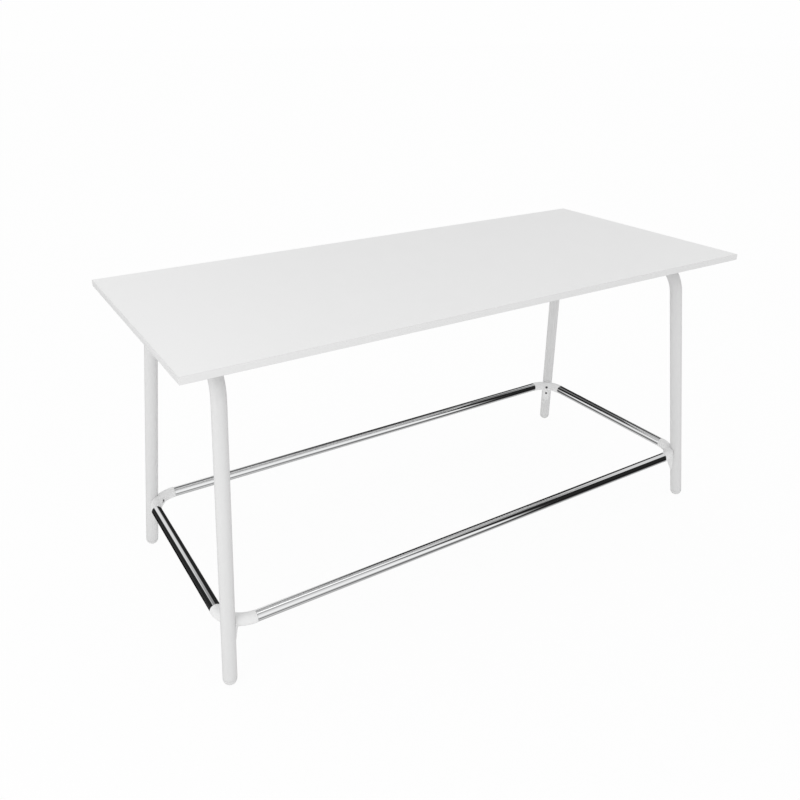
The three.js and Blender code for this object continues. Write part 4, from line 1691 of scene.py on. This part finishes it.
    def rail_holes(self) -> list[Surface]:
        """Rooms for the screws at the two ends of the back rail: plain cylinders.

        Returns:
            The rooms' closed surfaces.
        """
        screw = SocketScrew(0.0)
        radius = screw.diameter / 2 + CLEARANCE
        profile = [(0, -OVERRUN), (radius, -OVERRUN), (radius, OVERRUN), (0, OVERRUN)]
        hole = revolved(self.rail_screw_seat, Z_AXIS, profile, screw.sides)
        return [hole.mirrored(np.array([-1, 1, 1])), hole]


# Studio


@dataclass(frozen=True)
class Panel:
    """A panel of the surround that the chrome reflects, in degrees.

    Args:
        azimuth: From and to at its middle height, measured from +Y to +X.
        elevation: From and to, above the horizon.
        soft: Width of its soft edge across and up.
        depth: Share of the light that it takes away, below nought for a lamp.
        lean: How far it moves across for each degree up.
    """

    azimuth: tuple[float, float]
    elevation: tuple[float, float]
    soft: tuple[float, float]
    depth: float
    lean: float = 0.0

    def shade(self, azimuth: Array, elevation: Array) -> Array:
        """Share of the light that is left in each direction.

        Args:
            azimuth: The directions' azimuths.
            elevation: Their elevations.

        Returns:
            One outside the panel, and one less its depth in it.
        """
        upright = azimuth - self.lean * (elevation - sum(self.elevation) / 2)
        cover = np.full(azimuth.shape, self.depth)
        spans = (self.azimuth, self.elevation)
        for angle, (start, stop), soft in zip((upright, elevation), spans, self.soft):
            for rise in ((angle - start) / soft, (stop - angle) / soft):
                step = np.clip(rise + 0.5, 0, 1)
                cover = cover * step * step * (3 - 2 * step)
        return 1 - cover


def facing(direction: Iterable[float]) -> Euler:
    """The turn that makes a lamp or camera look in a direction."""
    return Vector(direction).to_track_quat("-Z", "Y").to_euler()


@dataclass(frozen=True)
class Lamp:
    """A round soft lamp that reflections don't show.

    Args:
        place: Where it stands.
        target: Where it points.
        size: Its diameter.
        energy: Its power in watts.
    """

    place: tuple[float, float, float]
    target: tuple[float, float, float]
    size: float
    energy: float

    def add(self, name: str) -> None:
        """Adds the lamp to the scene."""
        data = bpy.data.lights.new(name, "AREA")
        data.shape, data.size, data.energy = "DISK", self.size, self.energy
        lamp = bpy.data.objects.new(name, data)
        lamp.location = self.place
        lamp.rotation_euler = facing(np.subtract(self.target, self.place))
        lamp.visible_glossy = False
        bpy.context.collection.objects.link(lamp)
        log.info("lamp: %s", name)


@dataclass(frozen=True)
class Studio:
    """Floor, surround, light and camera.

    Args:
        camera_place: Where the camera stands.
        camera_yaw: Its heading, from +Y to +X.
        camera_pitch: Its tilt above the horizon.
        lens: Focal length in millimetres.
        sensor: Width of the picture in the camera in millimetres.
        white: Strength of the background as it is seen.
        sky: Strength of the light from all round.
        key: The lamp at the front left.
        floor_size: Half the floor's width.
        floor_drop: How far the floor lies under the feet.
        floor_white: The floor's own tone.
        floor_glow: Share of the floor's look that is plain white, the rest keeps the shadow.
        floor_fill: Strength of the light that the floor adds to what it throws back.
        surround_radius: Distance of the surround that only reflections see.
        surround_levels: Its brightness by elevation.
        panels: Its dark panels and its lamps.
    """

    camera_place: tuple[float, float, float] = (-1.275335, -1.865258, 1.556816)
    camera_yaw: float = radians(31.942)
    camera_pitch: float = radians(-25.973)
    lens: float = 34.58
    sensor: float = 36.0
    white: float = 0.991
    sky: float = 0.92
    key: Lamp = Lamp((-2.6, -1.2, 1.55), (0, 0, 0.5), 1.6, 9.9)
    floor_size: float = 60.0
    floor_drop: float = 0.2 * MM
    floor_white: float = 0.9
    floor_glow: float = 0.93
    floor_fill: float = 0.15
    surround_radius: float = 80.0
    surround_levels: tuple[tuple[float, float], ...] = (
        (-90, 1.05), (-75, 0.42), (-60, 0.68), (-47, 0.58), (-35, 0.05), (-20, 0.75), (-8, 1.05),
        (5, 1.02), (38, 0.76), (47, 0.72), (53, 0.25), (58, 0.44), (66, 0.68), (75, 0.93),
        (90, 1.05),
    )
    panels: tuple[Panel, ...] = (
        Panel((115.7, 145.7), (-30.4, 49.8), (3.9, 0.9), 0.98, 0.01),
        Panel((-48.5, -23.5), (-22.6, 49.5), (3.3, 0.8), 0.97, 0.05),
        Panel((-37.8, 11.9), (-41.9, -13.4), (3, 2.5), 0.98, 0.39),
        Panel((-49.5, 18), (39.1, 54.6), (8.5, 6.6), 0.65, -0.29),
        Panel((18.1, 56.7), (-25.8, 50.2), (15.3, 2.2), 0.98, -0.09),
        Panel((113.5, 156), (-60.3, -8.2), (25, 25), 0.49, 0.46),
        Panel((-54.8, -41.8), (-46.5, -2.4), (3.9, 5.6), 0.52, -0.41),
        Panel((-63.2, -52.5), (8.5, 44.6), (6.8, 16.8), 0.98, -1.6),
        Panel((41.1, 102.1), (51.1, 68.7), (1.3, 0.8), 0.51, -1.02),
        Panel((-0.4, 50.9), (58.8, 90), (7.3, 1.3), 0.95, -1.59),
        Panel((85.8, 132.7), (59.6, 90), (4.1, 0.8), -0.8, 0.42),
        # The last three are for the sides that the camera doesn't see.
        Panel((-152, -122), (-31, 50), (8, 4), 0.98),
        Panel((-100, -80), (-26, 46), (6, 4), 0.97),
        Panel((76, 97), (-24, 26), (6, 6), 0.97),
    )

    def build(self) -> None:
        """Sets up the room round the table."""
        self.add_floor()
        self.add_surround()
        self.add_world()
        self.key.add("key")
        self.add_camera()
        bpy.context.scene.view_settings.view_transform = "Standard"

    def add_stage(self, name: str, surface: Surface) -> tuple[bpy.types.Object, Sheet]:
        """Adds an object of the room.

        Args:
            name: The name of the object and of its material.
            surface: Its shape.

        Returns:
            The object, and its material's empty node tree.
        """
        thing = bpy.data.objects.new(name, mesh_of(name, surface))
        bpy.context.collection.objects.link(thing)
        paint = bpy.data.materials.new(name)
        paint.use_nodes = True
        thing.data.materials.append(paint)
        log.info("stage: %s", name)
        return thing, Sheet(paint.node_tree)

    def add_floor(self) -> None:
        """A white floor that keeps a faint shadow, and is clear from below, where it faces."""
        ends = np.linspace(-self.floor_size, self.floor_size, 3)
        x, y = np.meshgrid(ends, ends)
        places = np.stack([x, y, np.full_like(x, -self.floor_drop)], axis=-1)
        floor, sheet = self.add_stage("floor", grid(places))
        floor.visible_glossy = False
        paint = (*grey(self.floor_white), 1.0)
        matt = sheet.add("ShaderNodeBsdfDiffuse", {"Color": paint}).outputs[0]
        glow = sheet.add("ShaderNodeEmission", {"Strength": 1.0}).outputs[0]
        fill = sheet.add("ShaderNodeEmission", {"Strength": self.floor_fill}).outputs[0]
        lit = sheet.add("ShaderNodeAddShader", {0: matt, 1: fill}).outputs[0]
        clear = sheet.add("ShaderNodeBsdfTransparent").outputs[0]
        above = sheet.add("ShaderNodeNewGeometry").outputs["Backfacing"]
        look = sheet.mix(self.floor_glow, matt, glow)
        sided = sheet.mix(above, clear, sheet.mix(sheet.seen(), lit, look))
        sheet.add("ShaderNodeOutputMaterial", {"Surface": sided})

    def add_surround(self) -> None:
        """A ball round the room, with a brightness for each degree of azimuth and elevation."""
        azimuth, elevation = np.meshgrid(np.linspace(-180, 180, 361), np.linspace(-90, 90, 181))
        east, up = np.radians(azimuth), np.radians(elevation)
        ball = np.stack([np.cos(up) * np.sin(east), np.cos(up) * np.cos(east), np.sin(up)], axis=-1)
        surround, sheet = self.add_stage("surround", grid(self.surround_radius * ball))
        places = np.empty(3 * len(surround.data.vertices))
        surround.data.vertices.foreach_get("co", places)
        x, y, z = places.reshape(-1, 3).T
        tilt = np.degrees(np.arctan2(z, np.hypot(x, y)))
        heading = np.degrees(np.arctan2(x, y))
        level = np.interp(tilt, *np.array(self.surround_levels).T)
        for panel in self.panels:
            level = level * panel.shade(heading, tilt)
        tone = surround.data.attributes.new("tone", "FLOAT", "POINT")
        tone.data.foreach_set("value", level.astype(np.float32))
        for ray in ("camera", "diffuse", "transmission", "volume_scatter", "shadow"):
            setattr(surround, f"visible_{ray}", False)
        value = sheet.add("ShaderNodeAttribute", attribute_name="tone").outputs["Fac"]
        glow = sheet.add("ShaderNodeEmission", {"Color": value})
        sheet.add("ShaderNodeOutputMaterial", {"Surface": glow.outputs[0]})

    def add_world(self) -> None:
        """White to the camera and to reflections, and an even light to everything else."""
        world = bpy.data.worlds.new("room")
        world.use_nodes = True
        bpy.context.scene.world = world
        sheet = Sheet(world.node_tree)
        rest = {0: sheet.seen(), 1: self.white - self.sky, 2: self.sky}
        strength = sheet.add("ShaderNodeMath", rest, operation="MULTIPLY_ADD")
        values = {"Color": (*grey(1.0), 1.0), "Strength": strength.outputs[0]}
        light = sheet.add("ShaderNodeBackground", values)
        sheet.add("ShaderNodeOutputWorld", {"Surface": light.outputs[0]})

    def add_camera(self) -> None:
        """The photo's camera."""
        data = bpy.data.cameras.new("camera")
        data.lens, data.sensor_width = self.lens, self.sensor
        camera = bpy.data.objects.new("camera", data)
        level = cos(self.camera_pitch)
        look = (level * sin(self.camera_yaw), level * cos(self.camera_yaw), sin(self.camera_pitch))
        camera.location = self.camera_place
        camera.rotation_euler = facing(look)
        bpy.context.collection.objects.link(camera)
        bpy.context.scene.camera = camera


def main() -> None:
    """Builds the table's pieces round the frame, then the studio."""
    logging.basicConfig(level=logging.INFO, format="%(name)s: %(message)s")
    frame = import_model()
    top = TableTop(frame["nodes"])
    legs = LegFrame(top)
    ring = FootrestRing(legs)
    connectors = CornerConnectors(ring)
    top.build()
    legs.build(connectors.nut_holes())
    Glides(legs).build()
    ring.build()
    connectors.build()
    UnderFrame(frame["nodes"], legs).build()
    Studio().build()


if __name__ == "__main__":
    main()
